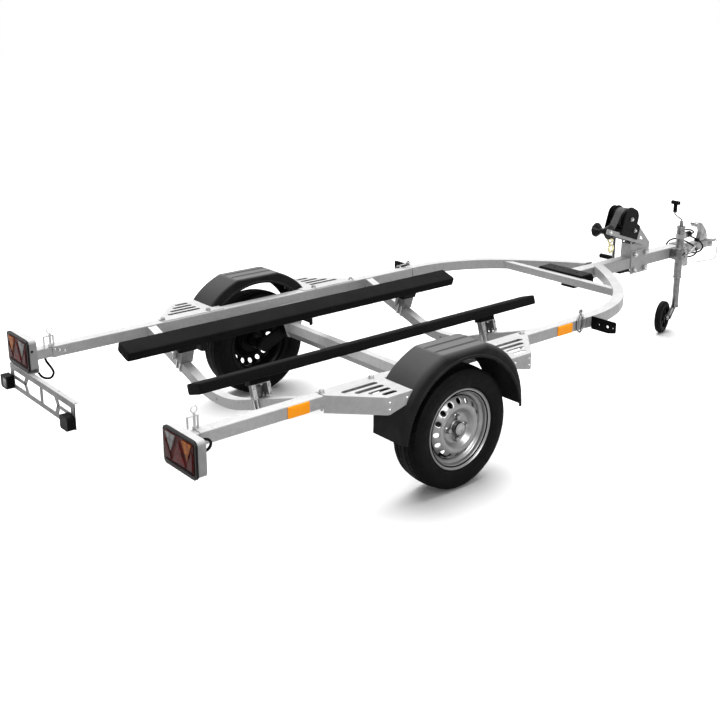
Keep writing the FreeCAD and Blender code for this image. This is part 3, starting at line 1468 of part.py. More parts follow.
def lead_plug():
    """The lead's plug: a round body and its narrower tail."""
    y = -jockey_y
    x0 = jockey_x + jockey_tube_radius + park_cup_length
    body = cyl(x0, y, park_height, plug_radius, plug_length, Vector(1, 0, 0))
    tail = cyl(x0 + plug_length, y, park_height, plug_tail_radius, plug_tail_length, Vector(1, 0, 0))
    return body.fuse(tail).removeSplitter()


def plug_socket():
    """Dummy socket on a collar round the jockey wheel's tube, where the plug is parked."""
    y = -jockey_y
    collar = cyl(jockey_x, y, park_height - park_collar_height / 2, jockey_tube_radius + clamp_sheet,
                 park_collar_height, Vector(0, 0, 1))
    cup = cyl(jockey_x, y, park_height, park_cup_radius, jockey_tube_radius + park_cup_length,
              Vector(1, 0, 0))
    bore = cyl(jockey_x, y, park_height - 2 * park_cup_radius, jockey_tube_radius, 4 * park_cup_radius,
               Vector(0, 0, 1))
    return collar.fuse(cup).cut(bore).removeSplitter()


def breakaway_cable():
    """Breakaway cable: from the lug under the sleeve, forward below the cup and up to the lip."""
    side = -drawbar_half
    start = nose_point(stub_length - coupling_sleeve_length / 2, side, cable_start_up)
    end = nose_point(coupling_reach + coupling_lip_reach, 0, cable_end_up)
    points = [start] + [nose_point(*point) for point in cable_points] + [end]
    return cord_tube(points, cable_diameter)


def jockey_stem():
    """Inner tube that slides up and down in the outer one."""
    stem = cyl(jockey_x, -jockey_y, jockey_inner_bottom, jockey_inner_radius,
               jockey_inner_top - jockey_inner_bottom, Vector(0, 0, 1))
    return stem


def swivelled(shape):
    """Turns a piece made under the jockey tube to the wheel's swivel at rest, and sets it there."""
    shape.rotate(Vector(0, 0, 0), Vector(0, 0, 1), jockey_swivel)
    shape.translate(Vector(jockey_x, -jockey_y, 0))
    return shape


def jockey_fork():
    """Swivelling arm under the inner tube: a round crown and one blade that leans back to the pin
    of the wheel beside it."""
    sheet = jockey_fork_sheet
    aside = jockey_fork_aside
    top = jockey_inner_bottom - fit_gap
    low = top - jockey_crown_height
    wide = jockey_fork_width / 2
    crown = cyl(0, 0, low, jockey_crown_radius, jockey_crown_height, Vector(0, 0, 1))
    pairs = [(wide * 2 / 3, top), (-wide * 2 / 3, top),
             (-jockey_trail - wide / 2, jockey_wheel_radius + wide / 2),
             (-jockey_trail - wide / 2, jockey_wheel_radius - wide * 2 / 3),
             (-jockey_trail + wide / 2, jockey_wheel_radius - wide * 2 / 3), (wide * 2 / 3, low)]
    rounds = [0, 0, wide / 2, wide / 2, wide / 2, 0]
    blade = side_profile(pairs, rounds, aside, aside + sheet)
    reach = jockey_wheel_aside + jockey_wheel_width / 2 + clamp_sheet
    pin = cyl(-jockey_trail, aside, jockey_wheel_radius, jockey_pin_radius, reach - aside, Vector(0, 1, 0))
    return swivelled(crown.fuse([blade, pin]).removeSplitter())


def jockey_wheel():
    """Small solid wheel with a rounded tread and a bore on the fork's pin."""
    half = jockey_wheel_width / 2
    bore = jockey_pin_radius + pin_gap
    edge = jockey_wheel_radius - half * 2 / 3
    wheel = Part.Face(Part.Wire([
        Part.LineSegment(Vector(0, -half, bore), Vector(0, half, bore)).toShape(),
        Part.LineSegment(Vector(0, half, bore), Vector(0, half, edge)).toShape(),
        Part.Arc(Vector(0, half, edge), Vector(0, 0, jockey_wheel_radius),
                 Vector(0, -half, edge)).toShape(),
        Part.LineSegment(Vector(0, -half, edge), Vector(0, -half, bore)).toShape()]))
    wheel = wheel.revolve(Vector(0, 0, 0), Vector(0, 1, 0), full_turn)
    wheel.translate(Vector(-jockey_trail, jockey_wheel_aside, jockey_wheel_radius))
    return swivelled(wheel)


def reflectors():
    """Amber reflectors on the outer faces of both rails, as separate solids."""
    pieces = []
    for x in (-reflector_x, reflector_front_x):
        near = block(x - reflector_length / 2, x + reflector_length / 2, frame_half_width,
                     frame_half_width + reflector_depth, rail_mid_z - reflector_height / 2,
                     rail_mid_z + reflector_height / 2)
        pieces += [near, mirrored(near)]
    return Part.Compound(pieces)


def tie_hoops():
    """A bent rod on each rail ahead of the mudguards, for lashing: a loop down the rail's outer
    face and an eye over its top."""
    y0 = frame_half_width + hoop_rod / 2
    half = hoop_spread / 2
    over = rail_top + hoop_rod / 2
    low = rail_bottom - hoop_under
    eye = Vector(hoop_x + hoop_spread, rail_mid_y, over + hoop_eye_rise)
    hoop = rod([eye, Vector(hoop_x - half, y0, over), Vector(hoop_x - half, y0, low + half / 2),
                Vector(hoop_x, y0, low), Vector(hoop_x + half, y0, low + half / 2),
                Vector(hoop_x + half, y0, over), eye], hoop_rod / 2)
    hoop = hoop.fuse(Part.makeSphere(hoop_rod / 2, eye)).removeSplitter()
    return Part.Compound([hoop, mirrored(hoop)])


def marker_plates():
    """Black drilled plates that stand out from the rails' front ends, as separate solids."""
    y0 = frame_half_width
    y1 = y0 + marker_length
    end_low = rail_top - (marker_height + marker_end_height) / 2
    pairs = [(y0, rail_top - marker_height), (y1 - marker_end_height, rail_top - marker_height),
             (y1, end_low), (y1, rail_top), (y0, rail_top)]
    left = cross_profile(pairs, [0, coupling_corner, coupling_corner, coupling_corner, 0],
                         marker_x, marker_x + marker_sheet)
    z = rail_top - marker_height / 2
    for y, radius in ((y0 + marker_length / 3, marker_small_hole_radius),
                      (y0 + marker_length * 2 / 3, marker_hole_radius),
                      (y1 - marker_height / 4, marker_small_hole_radius)):
        left = left.cut(cyl(marker_x - overrun, y, z, radius, marker_sheet + 2 * overrun, Vector(1, 0, 0)))
    return Part.Compound([left, mirrored(left)])


def carried(name, make):
    """Both sides of a piece that is modelled on the left."""
    left = make()
    return [(name + "_left", left), (name + "_right", mirrored(left))]


def four_of(make):
    """A front and a rear copy of a piece on both sides, as one node's solids."""
    left = [make(-1), make(1)]
    return Part.Compound(left + [mirrored(piece) for piece in left])


def both_sides(make):
    """A left piece and its mirror copy as one node's solids."""
    left = make()
    return Part.Compound([left, mirrored(left)])


def shapes():
    """Every node of the trailer by name, as (name, shape) pairs."""
    nodes = []
    for name, make in (("side_rail", side_rail), ("mudguard", mudguard), ("bunk", bunk),
                       ("tyre", tyre), ("rim", rim),
                       ("hub", hub), ("lamp_carrier", lamp_carrier), ("tail_lamp", tail_lamp),
                       ("lamp_lens", lamp_lens)):
        nodes += carried(name, make)
    for name, make in (("mudguard_brackets", wing), ("bunk_brackets", bunk_bracket),
                       ("bunk_blocks", bunk_block)):
        nodes.append((name, four_of(make)))
    nodes += [("front_loop", both_sides(front_loop)), ("drawbar", drawbar()),
              ("cross_tube", cross_tube()), ("keel_support", keel_support()),
              ("rubber_pads", rubber_pads()), ("carrier_pins", carrier_pins()),
              ("crossmember_rear", cross_member(-1)), ("crossmember_front", cross_member(1)),
              ("axle_tube", axle_tube()), ("axle_mounts", both_sides(axle_mount)),
              ("suspension_arms", both_sides(suspension_arm)),
              ("plate_holder", plate_holder()), ("plate_lamps", plate_lamps()),
              ("winch_post", winch_post()), ("post_clamp", post_clamp()),
              ("winch_frame", winch_frame()), ("strap_tail", strap_tail()), ("snap_hook", snap_hook()),
              ("winch_drum", winch_drum()), ("winch_crank", winch_crank()),
              ("bow_roller", bow_roller()), ("coupling_head", coupling_head()),
              ("coupling_lever", coupling_lever()), ("coupling_catch", coupling_catch()),
              ("jockey_sleeve", jockey_sleeve()), ("jockey_knob", jockey_knob()),
              ("jockey_clamp", jockey_clamp()), ("plug_socket", plug_socket()),
              ("lead_plug", lead_plug()), ("lead_grommet", lead_grommet()),
              ("trailer_lead", trailer_lead()), ("breakaway_cable", breakaway_cable()),
              ("jockey_stem", jockey_stem()), ("jockey_fork", jockey_fork()),
              ("jockey_wheel", jockey_wheel()), ("side_reflectors", reflectors()),
              ("tie_hoops", tie_hoops()), ("marker_plates", marker_plates())]
    return nodes


os.makedirs("parts", exist_ok=True)
all_nodes = shapes()
cords = ("trailer_lead", "lead_plug", "lead_grommet", "breakaway_cable")
whole = FreeCAD.BoundBox()
for node_name, node_shape in all_nodes:
    if node_name not in cords:
        whole.add(node_shape.optimalBoundingBox())
centre = Vector(-whole.Center.x, -whole.Center.y, -whole.ZMin)
for node_name, node_shape in all_nodes:
    node_shape.translate(centre)
    node_shape.exportStep("parts/" + node_name + ".step")
    if not node_shape.isValid():
        print("not valid:", node_name)
    print(node_name, len(node_shape.Solids), round(node_shape.Volume))
print("moved by", centre.x, centre.y, centre.z)
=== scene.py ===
import math
import bmesh
import bpy
import numpy as np
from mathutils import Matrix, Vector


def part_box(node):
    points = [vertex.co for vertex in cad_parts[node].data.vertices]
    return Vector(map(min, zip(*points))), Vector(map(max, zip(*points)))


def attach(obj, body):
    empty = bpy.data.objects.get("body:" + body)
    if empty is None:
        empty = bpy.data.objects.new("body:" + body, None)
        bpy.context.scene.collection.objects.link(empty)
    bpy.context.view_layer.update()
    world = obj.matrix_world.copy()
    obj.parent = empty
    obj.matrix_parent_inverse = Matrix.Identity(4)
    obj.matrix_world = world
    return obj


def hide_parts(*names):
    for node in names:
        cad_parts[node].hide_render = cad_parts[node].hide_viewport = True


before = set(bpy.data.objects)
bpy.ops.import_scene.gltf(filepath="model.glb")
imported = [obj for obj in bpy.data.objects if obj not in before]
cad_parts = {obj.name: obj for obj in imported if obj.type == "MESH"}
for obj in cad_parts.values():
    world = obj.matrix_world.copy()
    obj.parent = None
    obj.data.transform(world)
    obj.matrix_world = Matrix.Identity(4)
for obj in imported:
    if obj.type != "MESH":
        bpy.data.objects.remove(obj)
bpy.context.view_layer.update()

# Camera at the photograph's angle, in the frame of the CAD model.
CAMERA_PLACE = (-3.9245, -3.7719, 2.0789)
CAMERA_TURN = -39.7518
CAMERA_DIP = 15.651
CAMERA_LENS = 53.2826
CAMERA_SHIFT = -0.1

camera_data = bpy.data.cameras.new("camera")
camera_data.sensor_width = 36.0
camera_data.sensor_fit = "HORIZONTAL"
camera_data.lens = CAMERA_LENS
camera_data.shift_y = CAMERA_SHIFT
camera = bpy.data.objects.new("camera", camera_data)
camera.location = CAMERA_PLACE
camera.rotation_euler = (math.radians(90 - CAMERA_DIP), 0.0, math.radians(CAMERA_TURN))
bpy.context.scene.collection.objects.link(camera)
bpy.context.scene.camera = camera
bpy.context.scene.view_settings.view_transform = "Standard"

# Places of the main pieces, in metres, read from the frame.
TYRE_LOW, TYRE_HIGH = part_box("tyre_left")
RAIL_LOW, RAIL_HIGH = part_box("side_rail_left")
BAR_LOW, BAR_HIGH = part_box("drawbar")
LAMP_LOW, LAMP_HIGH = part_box("tail_lamp_left")
WHEEL_X = (TYRE_LOW.x + TYRE_HIGH.x) / 2
WHEEL_Y = (TYRE_LOW.y + TYRE_HIGH.y) / 2
WHEEL_Z = (TYRE_LOW.z + TYRE_HIGH.z) / 2
TYRE_RADIUS = (TYRE_HIGH.z - TYRE_LOW.z) / 2
TYRE_HALF = (TYRE_HIGH.y - TYRE_LOW.y) / 2
RAIL_TOP = RAIL_HIGH.z
RAIL_BASE = RAIL_LOW.z
RAIL_OUT = RAIL_HIGH.y
RAIL_IN = RAIL_LOW.y
BAR_FRONT = BAR_HIGH.x
BAR_HALF = BAR_HIGH.y
BAR_MID = (BAR_LOW.z + BAR_HIGH.z) / 2

# The rails' middle from the trailer's middle, the mudguards' shift to the rear of the axle, and the
# slant of the cross members and bunks.
RAIL_MIDDLE = 0.628
WING_SHIFT = -0.016
MEMBER_TILT = math.radians(18.0)
BOTH_SIDES = (("left", 1), ("right", -1))
SIDES = (1, -1)

UP = np.array([0.0, 0.0, 1.0])
AHEAD = np.array([1.0, 0.0, 0.0])
LEFT = np.array([0.0, 1.0, 0.0])


def at(x, y, z):
    """A place measured forward from the wheel axis, to the left, and up from the ground."""
    return np.array([x + WHEEL_X, y, z])


# Materials

def new_material(name):
    """A material with its nodes, its links and its principled shader."""
    material = bpy.data.materials.new(name)
    material.use_nodes = True
    tree = material.node_tree
    return material, tree.nodes, tree.links, tree.nodes["Principled BSDF"]


def object_places(nodes):
    """Object coordinates."""
    return nodes.new("ShaderNodeTexCoord").outputs["Object"]


def feed(links, value, socket):
    """A number, a colour or another node's output into a socket."""
    if isinstance(value, bpy.types.NodeSocket):
        links.new(value, socket)
    else:
        socket.default_value = value


def noise(nodes, links, vector, scale, detail, roughness=0.55):
    """Cloudy noise over the places, finer with a larger scale."""
    texture = nodes.new("ShaderNodeTexNoise")
    texture.inputs["Scale"].default_value = scale
    texture.inputs["Detail"].default_value = detail
    texture.inputs["Roughness"].default_value = roughness
    links.new(vector, texture.inputs["Vector"])
    return texture.outputs["Fac"]


def wave(nodes, links, vector, direction, scale, distortion=0.0):
    """Bands that rise and fall along one direction."""
    texture = nodes.new("ShaderNodeTexWave")
    texture.bands_direction = direction
    texture.inputs["Scale"].default_value = scale
    texture.inputs["Distortion"].default_value = distortion
    links.new(vector, texture.inputs["Vector"])
    return texture.outputs["Fac"]


def calculated(nodes, links, operation, first, second):
    """The sum, product, larger one or comparison of two values."""
    node = nodes.new("ShaderNodeMath")
    node.operation = operation
    feed(links, first, node.inputs[0])
    feed(links, second, node.inputs[1])
    return node.outputs["Value"]


def part_along(nodes, links, vector, axis):
    """A vector's part along X, Y or Z."""
    node = nodes.new("ShaderNodeSeparateXYZ")
    links.new(vector, node.inputs["Vector"])
    return node.outputs[axis]


def mixed(nodes, links, share, first, second, kind="FLOAT"):
    """The first and the second mixed, with the given share of the second."""
    node = nodes.new("ShaderNodeMix")
    node.data_type = kind
    feed(links, share, node.inputs["Factor"])
    feed(links, first, node.inputs["A"])
    feed(links, second, node.inputs["B"])
    return node.outputs["Result"]


def ramp(nodes, links, value, stops):
    """A colour ramp through (place, colour) stops."""
    node = nodes.new("ShaderNodeValToRGB")
    elements = node.color_ramp.elements
    while len(elements) < len(stops):
        elements.new(0.5)
    for element, (place, colour) in zip(elements, stops):
        element.position = place
        element.color = (*colour, 1.0)
    links.new(value, node.inputs["Fac"])
    return node.outputs["Color"]


def spread(nodes, links, value, low, high):
    """The value's middle range carried to the range from low to high."""
    node = nodes.new("ShaderNodeMapRange")
    node.inputs["From Min"].default_value = 0.3
    node.inputs["From Max"].default_value = 0.7
    node.inputs["To Min"].default_value = low
    node.inputs["To Max"].default_value = high
    links.new(value, node.inputs["Value"])
    return node.outputs["Result"]


def relief(nodes, links, shader, height, distance, strength, under=None):
    """A bump from the height, on top of another bump where one is given."""
    node = nodes.new("ShaderNodeBump")
    node.inputs["Strength"].default_value = strength
    node.inputs["Distance"].default_value = distance
    links.new(height, node.inputs["Height"])
    if under is not None:
        links.new(under, node.inputs["Normal"])
    links.new(node.outputs["Normal"], shader.inputs["Normal"])
    return node.outputs["Normal"]


def grey(level):
    """A colour with the same level of red, green and blue."""
    return (level, level, level)


def dipped_zinc(name, dark, light, sheen):
    """Hot-dip galvanising: crystal spangle from a cell pattern and cloudy patches."""
    material, nodes, links, shader = new_material(name)
    place = object_places(nodes)
    cells = nodes.new("ShaderNodeTexVoronoi")
    cells.inputs["Scale"].default_value = 90.0
    links.new(place, cells.inputs["Vector"])
    split = nodes.new("ShaderNodeSeparateColor")
    links.new(cells.outputs["Color"], split.inputs["Color"])
    level = mixed(nodes, links, 0.3, noise(nodes, links, place, 7.0, 5.0), split.outputs["Red"])
    links.new(ramp(nodes, links, level, [(0.25, dark), (0.75, light)]), shader.inputs["Base Color"])
    shader.inputs["Metallic"].default_value = 0.2
    shader.inputs["Specular IOR Level"].default_value = 0.1
    links.new(spread(nodes, links, noise(nodes, links, place, 22.0, 4.0), sheen - 0.08,
                     sheen + 0.1), shader.inputs["Roughness"])
    relief(nodes, links, shader, noise(nodes, links, place, 160.0, 3.0), 0.0006, 0.35)
    return material


def bright_zinc(name, dark, light):
    """Bright plated steel: fine clouding and small dull spots."""
    material, nodes, links, shader = new_material(name)
    place = object_places(nodes)
    links.new(ramp(nodes, links, noise(nodes, links, place, 35.0, 6.0),
                   [(0.35, dark), (0.65, light)]), shader.inputs["Base Color"])
    shader.inputs["Metallic"].default_value = 0.8
    links.new(spread(nodes, links, noise(nodes, links, place, 60.0, 4.0), 0.24, 0.42),
              shader.inputs["Roughness"])
    relief(nodes, links, shader, noise(nodes, links, place, 300.0, 2.0), 0.0003, 0.3)
    return material


def silver_enamel(name):
    """Wheel enamel: silver flake speckle under a soft gloss, greyer clouding between."""
    material, nodes, links, shader = new_material(name)
    place = object_places(nodes)
    flake = noise(nodes, links, place, 900.0, 2.0, 0.8)
    level = mixed(nodes, links, 0.6, flake, noise(nodes, links, place, 12.0, 4.0))
    links.new(ramp(nodes, links, level, [(0.35, grey(0.27)), (0.65, grey(0.38))]),
              shader.inputs["Base Color"])
    shader.inputs["Metallic"].default_value = 0.3
    shader.inputs["Specular IOR Level"].default_value = 0.25
    shader.inputs["Roughness"].default_value = 0.36
    relief(nodes, links, shader, flake, 0.0002, 0.3)
    return material


def moulded_black(name, level, gloss, grain, depth, mirror, painted_top_light=None):
    """Moulded plastic: leather-like grain from fine noise, dusty clouding in the colour. With a
    painted top light given, the colour goes over to that paler grey as the surface turns up to the
    sky: painted light from above on the upward faces."""
    material, nodes, links, shader = new_material(name)
    shader.inputs["Specular IOR Level"].default_value = mirror
    place = object_places(nodes)
    colour = ramp(nodes, links, noise(nodes, links, place, 9.0, 6.0),
                  [(0.3, grey(level * 0.75)), (0.7, grey(level * 1.3))])
    # Painted top light: the colour turns paler as a face turns up, standing in for light from
    # above.
    if painted_top_light is not None:
        facing = nodes.new("ShaderNodeNewGeometry").outputs["Normal"]
        share = ramp(nodes, links, part_along(nodes, links, facing, "Z"),
                     [(0.2, grey(0.0)), (0.6, grey(0.2)), (0.93, grey(0.44)), (1.0, grey(1.0))])
        colour = mixed(nodes, links, share, colour, (*grey(painted_top_light), 1.0), "RGBA")
    links.new(colour, shader.inputs["Base Color"])
    links.new(spread(nodes, links, noise(nodes, links, place, 30.0, 4.0), gloss - 0.06,
                     gloss + 0.1), shader.inputs["Roughness"])
    relief(nodes, links, shader, noise(nodes, links, place, grain, 3.0, 0.7), depth, 0.6)
    return material


def coloured_lens(name, colour, pitch, dim, painted_glow=0.0):
    """Clear coloured plastic over a prism grid: two crossed waves as relief, brighter and dimmer
    patches that are painted reflections of the bulbs' mirrors behind it, and, where given, a
    painted glow: light given off by the lens though no lamp is lit in it."""
    material, nodes, links, shader = new_material(name)
    place = object_places(nodes)
    prisms = calculated(nodes, links, "ADD", wave(nodes, links, place, "Y", pitch),
                        wave(nodes, links, place, "Z", pitch))
    links.new(ramp(nodes, links, noise(nodes, links, place, 38.0, 3.0),
                   [(0.35, tuple(c * dim for c in colour)), (0.65, colour)]),
              shader.inputs["Base Color"])
    shader.inputs["Roughness"].default_value = 0.3
    shader.inputs["Specular IOR Level"].default_value = 0.06
    shader.inputs["Emission Color"].default_value = (*colour, 1.0)
    shader.inputs["Emission Strength"].default_value = painted_glow
    relief(nodes, links, shader, prisms, 0.0012, 0.7)
    return material


def ribbed_carpet(name):
    """Needled bunk carpet: fibre speckle, fine ribs along the board and a soft sheen."""
    material, nodes, links, shader = new_material(name)
    place = object_places(nodes)
    speck = noise(nodes, links, place, 420.0, 4.0, 0.8)
    level = mixed(nodes, links, 0.4, speck, noise(nodes, links, place, 8.0, 4.0))
    links.new(ramp(nodes, links, level, [(0.35, grey(0.003)), (0.65, grey(0.010))]),
              shader.inputs["Base Color"])
    shader.inputs["Roughness"].default_value = 0.95
    shader.inputs["Specular IOR Level"].default_value = 0.04
    shader.inputs["Sheen Weight"].default_value = 0.03
    shader.inputs["Sheen Roughness"].default_value = 0.6
    fibres = relief(nodes, links, shader, speck, 0.002, 0.9)
    ribs = wave(nodes, links, place, "Y", 60.0, 1.2)
    relief(nodes, links, shader, ribs, 0.001, 0.5, fibres)
    return material


def road_rubber(name, level, roughness):
    """Rubber: faint bloom in the colour and a fine matt skin."""
    material, nodes, links, shader = new_material(name)
    shader.inputs["Specular IOR Level"].default_value = 0.04
    place = object_places(nodes)
    links.new(ramp(nodes, links, noise(nodes, links, place, 14.0, 6.0),
                   [(0.3, grey(level * 0.7)), (0.7, grey(level * 1.5))]),
              shader.inputs["Base Color"])
    links.new(spread(nodes, links, noise(nodes, links, place, 40.0, 3.0), roughness - 0.08,
                     roughness + 0.08), shader.inputs["Roughness"])
    relief(nodes, links, shader, noise(nodes, links, place, 500.0, 2.0), 0.0004, 0.4)
    return material


def woven_strap(name, dark, light):
    """Webbing: two crossed waves give the weave's relief and its light and dark threads."""
    material, nodes, links, shader = new_material(name)
    place = object_places(nodes)
    weave = calculated(nodes, links, "MULTIPLY", wave(nodes, links, place, "Y", 110.0),
                       wave(nodes, links, place, "Z", 150.0))
    links.new(ramp(nodes, links, weave, [(0.0, dark), (1.0, light)]), shader.inputs["Base Color"])
    shader.inputs["Roughness"].default_value = 0.85
    relief(nodes, links, shader, weave, 0.001, 0.6)
    return material


def lamp_shell(name):
    """Lamp housing: light grey plastic that turns to a black rubber rim towards the lens."""
    material, nodes, links, shader = new_material(name)
    place = object_places(nodes)
    rim = calculated(nodes, links, "LESS_THAN", part_along(nodes, links, place, "X"),
                     LAMP_LOW.x + LAMP_RIM)
    colour = ramp(nodes, links, noise(nodes, links, place, 20.0, 5.0),
                  [(0.3, grey(0.42)), (0.7, grey(0.52))])
    links.new(mixed(nodes, links, rim, colour, (*grey(0.006), 1.0), "RGBA"),
              shader.inputs["Base Color"])
    shader.inputs["Specular IOR Level"].default_value = 0.08
    shader.inputs["Roughness"].default_value = 0.38
    relief(nodes, links, shader, noise(nodes, links, place, 260.0, 2.0), 0.0004, 0.4)
    return material


def split_finish(name, border, rear, front):
    """A part in two finishes that meet square to the trailer's length at a border."""
    material, nodes, links, shader = new_material(name)
    place = object_places(nodes)
    ahead = calculated(nodes, links, "GREATER_THAN", part_along(nodes, links, place, "X"), border)
    cloud = noise(nodes, links, place, 30.0, 5.0)
    shades = [ramp(nodes, links, cloud, [(0.3, grey(level * 0.85)), (0.7, grey(level * 1.1))])
              for level in (rear, front)]
    links.new(mixed(nodes, links, ahead, *shades, "RGBA"), shader.inputs["Base Color"])
    links.new(spread(nodes, links, noise(nodes, links, place, 50.0, 4.0), 0.3, 0.46),
              shader.inputs["Roughness"])
    relief(nodes, links, shader, noise(nodes, links, place, 300.0, 2.0), 0.0003, 0.3)
    return material


# The black rim's depth on a lamp housing.
LAMP_RIM = 0.0103
GALVANISED = dipped_zinc("galvanised", grey(0.39), grey(0.48), 0.46)
GALVANISED_FOLDED = dipped_zinc("galvanised_folded", grey(0.38), grey(0.46), 0.42)
# Pale zinc: the carrier pins' own bright finish, and painted light on the bunk brackets' lips, a
# lit copy of the zinc.
GALVANISED_BRIGHT_AND_PAINTED_LIGHT = dipped_zinc("galvanised_bright_and_painted_light", grey(0.58), grey(0.70), 0.38)
# Darkened zinc, painted shade: the bunk brackets and the plate holder's bars are drawn darker to
# stand in for the shade on them.
GALVANISED_PAINTED_SHADE = dipped_zinc("galvanised_painted_shade", grey(0.17), grey(0.26), 0.46)
ZINC = bright_zinc("bright_zinc", grey(0.14), grey(0.27))
DULL_ZINC = bright_zinc("dull_zinc", grey(0.10), grey(0.17))
FASTENER = bright_zinc("fastener_zinc", grey(0.30), grey(0.48))
YELLOW_ZINC = bright_zinc("yellow_zinc", (0.56, 0.50, 0.28), (0.78, 0.72, 0.48))
WHEEL_SILVER = silver_enamel("wheel_silver")
# The guards' last value, 0.13, is their painted top light, a paler grey on upward faces.
GUARD_PLASTIC = moulded_black("guard_plastic", 0.02, 0.5, 380.0, 0.0012, 0.03, 0.13)
BLACK_PLASTIC = moulded_black("black_plastic", 0.005, 0.42, 500.0, 0.0006, 0.03)
BLACK_COAT = moulded_black("black_powder_coat", 0.006, 0.36, 700.0, 0.0004, 0.04)
ROLLER_GLOSS = moulded_black("roller_gloss", 0.006, 0.3, 500.0, 0.0003, 0.1)
TYRE_RUBBER = road_rubber("tyre_rubber", 0.007, 0.62)
ROLLER_RUBBER = road_rubber("roller_rubber", 0.008, 0.5)
SHEATH = road_rubber("lead_sheath", 0.006, 0.42)
CARPET = ribbed_carpet("bunk_carpet")
STRAP = woven_strap("winch_strap", grey(0.03), grey(0.12))
# The amber reflector's painted glow: it shines by emission, though it is no lamp.
AMBER = coloured_lens("amber_reflector", (1.0, 0.34, 0.012), 260.0, 0.9, 0.55)
AMBER_LENS = coloured_lens("amber_lens", (0.75, 0.2, 0.012), 200.0, 0.3)
RED_LENS = coloured_lens("red_lens", (0.2, 0.012, 0.01), 200.0, 0.25)
DEEP_RED_LENS = coloured_lens("deep_red_lens", (0.1, 0.008, 0.006), 200.0, 0.4)
CLEAR_LENS = coloured_lens("clear_lens", (0.5, 0.5, 0.5), 200.0, 0.35)
LAMP_SHELL = lamp_shell("lamp_shell")
CABLE_SHEATH = road_rubber("clear_cable_sheath", 0.11, 0.3)
PARK_SOCKET = split_finish("park_socket", BAR_FRONT - 0.158 + 0.0285, 0.52, 0.02)

NODE_FINISHES = {
    GALVANISED: ["side_rail_left", "side_rail_right", "front_loop", "drawbar", "cross_tube",
                 "crossmember_rear", "crossmember_front", "axle_tube", "axle_mounts", "winch_post",
                 "post_clamp"],
    GALVANISED_FOLDED: ["mudguard_brackets", "lamp_carrier_left", "lamp_carrier_right",
                        "plate_holder"],
    # Bunk brackets in the darkened zinc: painted shade on their faces.
    GALVANISED_PAINTED_SHADE: ["bunk_brackets"],
    GALVANISED_BRIGHT_AND_PAINTED_LIGHT: ["carrier_pins"],
    ROLLER_GLOSS: ["bow_roller"],
    ZINC: ["coupling_head", "coupling_lever", "tie_hoops"],
    DULL_ZINC: ["winch_crank", "jockey_sleeve", "jockey_stem", "jockey_fork", "jockey_clamp"],
    WHEEL_SILVER: ["rim_left", "rim_right"],
    YELLOW_ZINC: ["snap_hook"],
    GUARD_PLASTIC: ["mudguard_left", "mudguard_right"],
    BLACK_PLASTIC: ["plate_lamps", "coupling_catch", "jockey_knob", "lead_plug", "marker_plates",
                    "bunk_blocks"],
    # Suspension arms and hubs in black coat: their own black paint, and painted shade for the dark
    # inside of the wheels.
    BLACK_COAT: ["winch_frame", "winch_drum", "suspension_arms", "hub_left", "hub_right"],
    TYRE_RUBBER: ["tyre_left", "tyre_right"],
    ROLLER_RUBBER: ["rubber_pads", "lead_grommet", "jockey_wheel", "keel_support"],
    PARK_SOCKET: ["plug_socket"],
    SHEATH: ["trailer_lead"],
    CABLE_SHEATH: ["breakaway_cable"],
    CARPET: ["bunk_left", "bunk_right"],
    STRAP: ["strap_tail"],
    AMBER: ["side_reflectors"],
    DEEP_RED_LENS: ["lamp_lens_left", "lamp_lens_right"],
    LAMP_SHELL: ["tail_lamp_left", "tail_lamp_right"],
}
for finish, names in NODE_FINISHES.items():
    for node_name in names:
        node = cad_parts[node_name]
        node.data.materials.clear()
        node.data.materials.append(finish)


# Surfaces

def grid_faces(rows, columns, rows_close):
    """Quads between the neighbours of a grid of points, numbered row by row. Each row closes on
    itself."""
    i, j = np.meshgrid(np.arange(rows - (not rows_close)), np.arange(columns), indexing="ij")
    below = (i + 1) % rows
    beside = (j + 1) % columns
    corners = (i * columns + j, i * columns + beside, below * columns + beside, below * columns + j)
    return np.stack(corners, axis=-1).reshape(-1, 4)


def grid_shape(points, rows_close=False, capped=True):
    """A surface through a grid of points; where its rows don't close, its first and last row are
    filled in."""
    rows, columns = points.shape[:2]
    faces = [list(face) for face in grid_faces(rows, columns, rows_close)]
    if capped and not rows_close:
        faces.append(list(range(columns)))
        faces.append(list(range((rows - 1) * columns, rows * columns)))
    return points.reshape(-1, 3), faces


def piece(name, shapes, material, body, smooth=40.0, joined=None):
    """One object from several surfaces, smooth where its faces meet at less than the angle; with a
    joining distance, points that fall together are made one."""
    vertices = []
    faces = []
    count = 0
    for points, own_faces in shapes:
        vertices.append(points)
        faces += [[corner + count for corner in face] for face in own_faces]
        count += len(points)
    mesh = bpy.data.meshes.new(name)
    mesh.from_pydata(np.concatenate(vertices).tolist(), [], faces)
    work = bmesh.new()
    work.from_mesh(mesh)
    if joined is not None:
        bmesh.ops.remove_doubles(work, verts=work.verts, dist=joined)
    bmesh.ops.recalc_face_normals(work, faces=work.faces)
    work.to_mesh(mesh)
    work.free()
    mesh.shade_smooth()
    mesh.set_sharp_from_angle(angle=math.radians(smooth))
    mesh.materials.append(material)
    made = bpy.data.objects.new(name, mesh)
    bpy.context.scene.collection.objects.link(made)
    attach(made, body)
    return made


def paint_faces(made, material, chosen):
    """A second finish on the chosen faces of a piece."""
    made.data.materials.append(material)
    made.data.polygons.foreach_set("material_index", chosen.astype(np.int32))


def face_arrays(made):
    """Middles and outward directions of a piece's faces."""
    count = len(made.data.polygons)
    middles = np.empty(count * 3)
    normals = np.empty(count * 3)
    made.data.polygons.foreach_get("center", middles)
    made.data.polygons.foreach_get("normal", normals)
    return middles.reshape(-1, 3), normals.reshape(-1, 3)


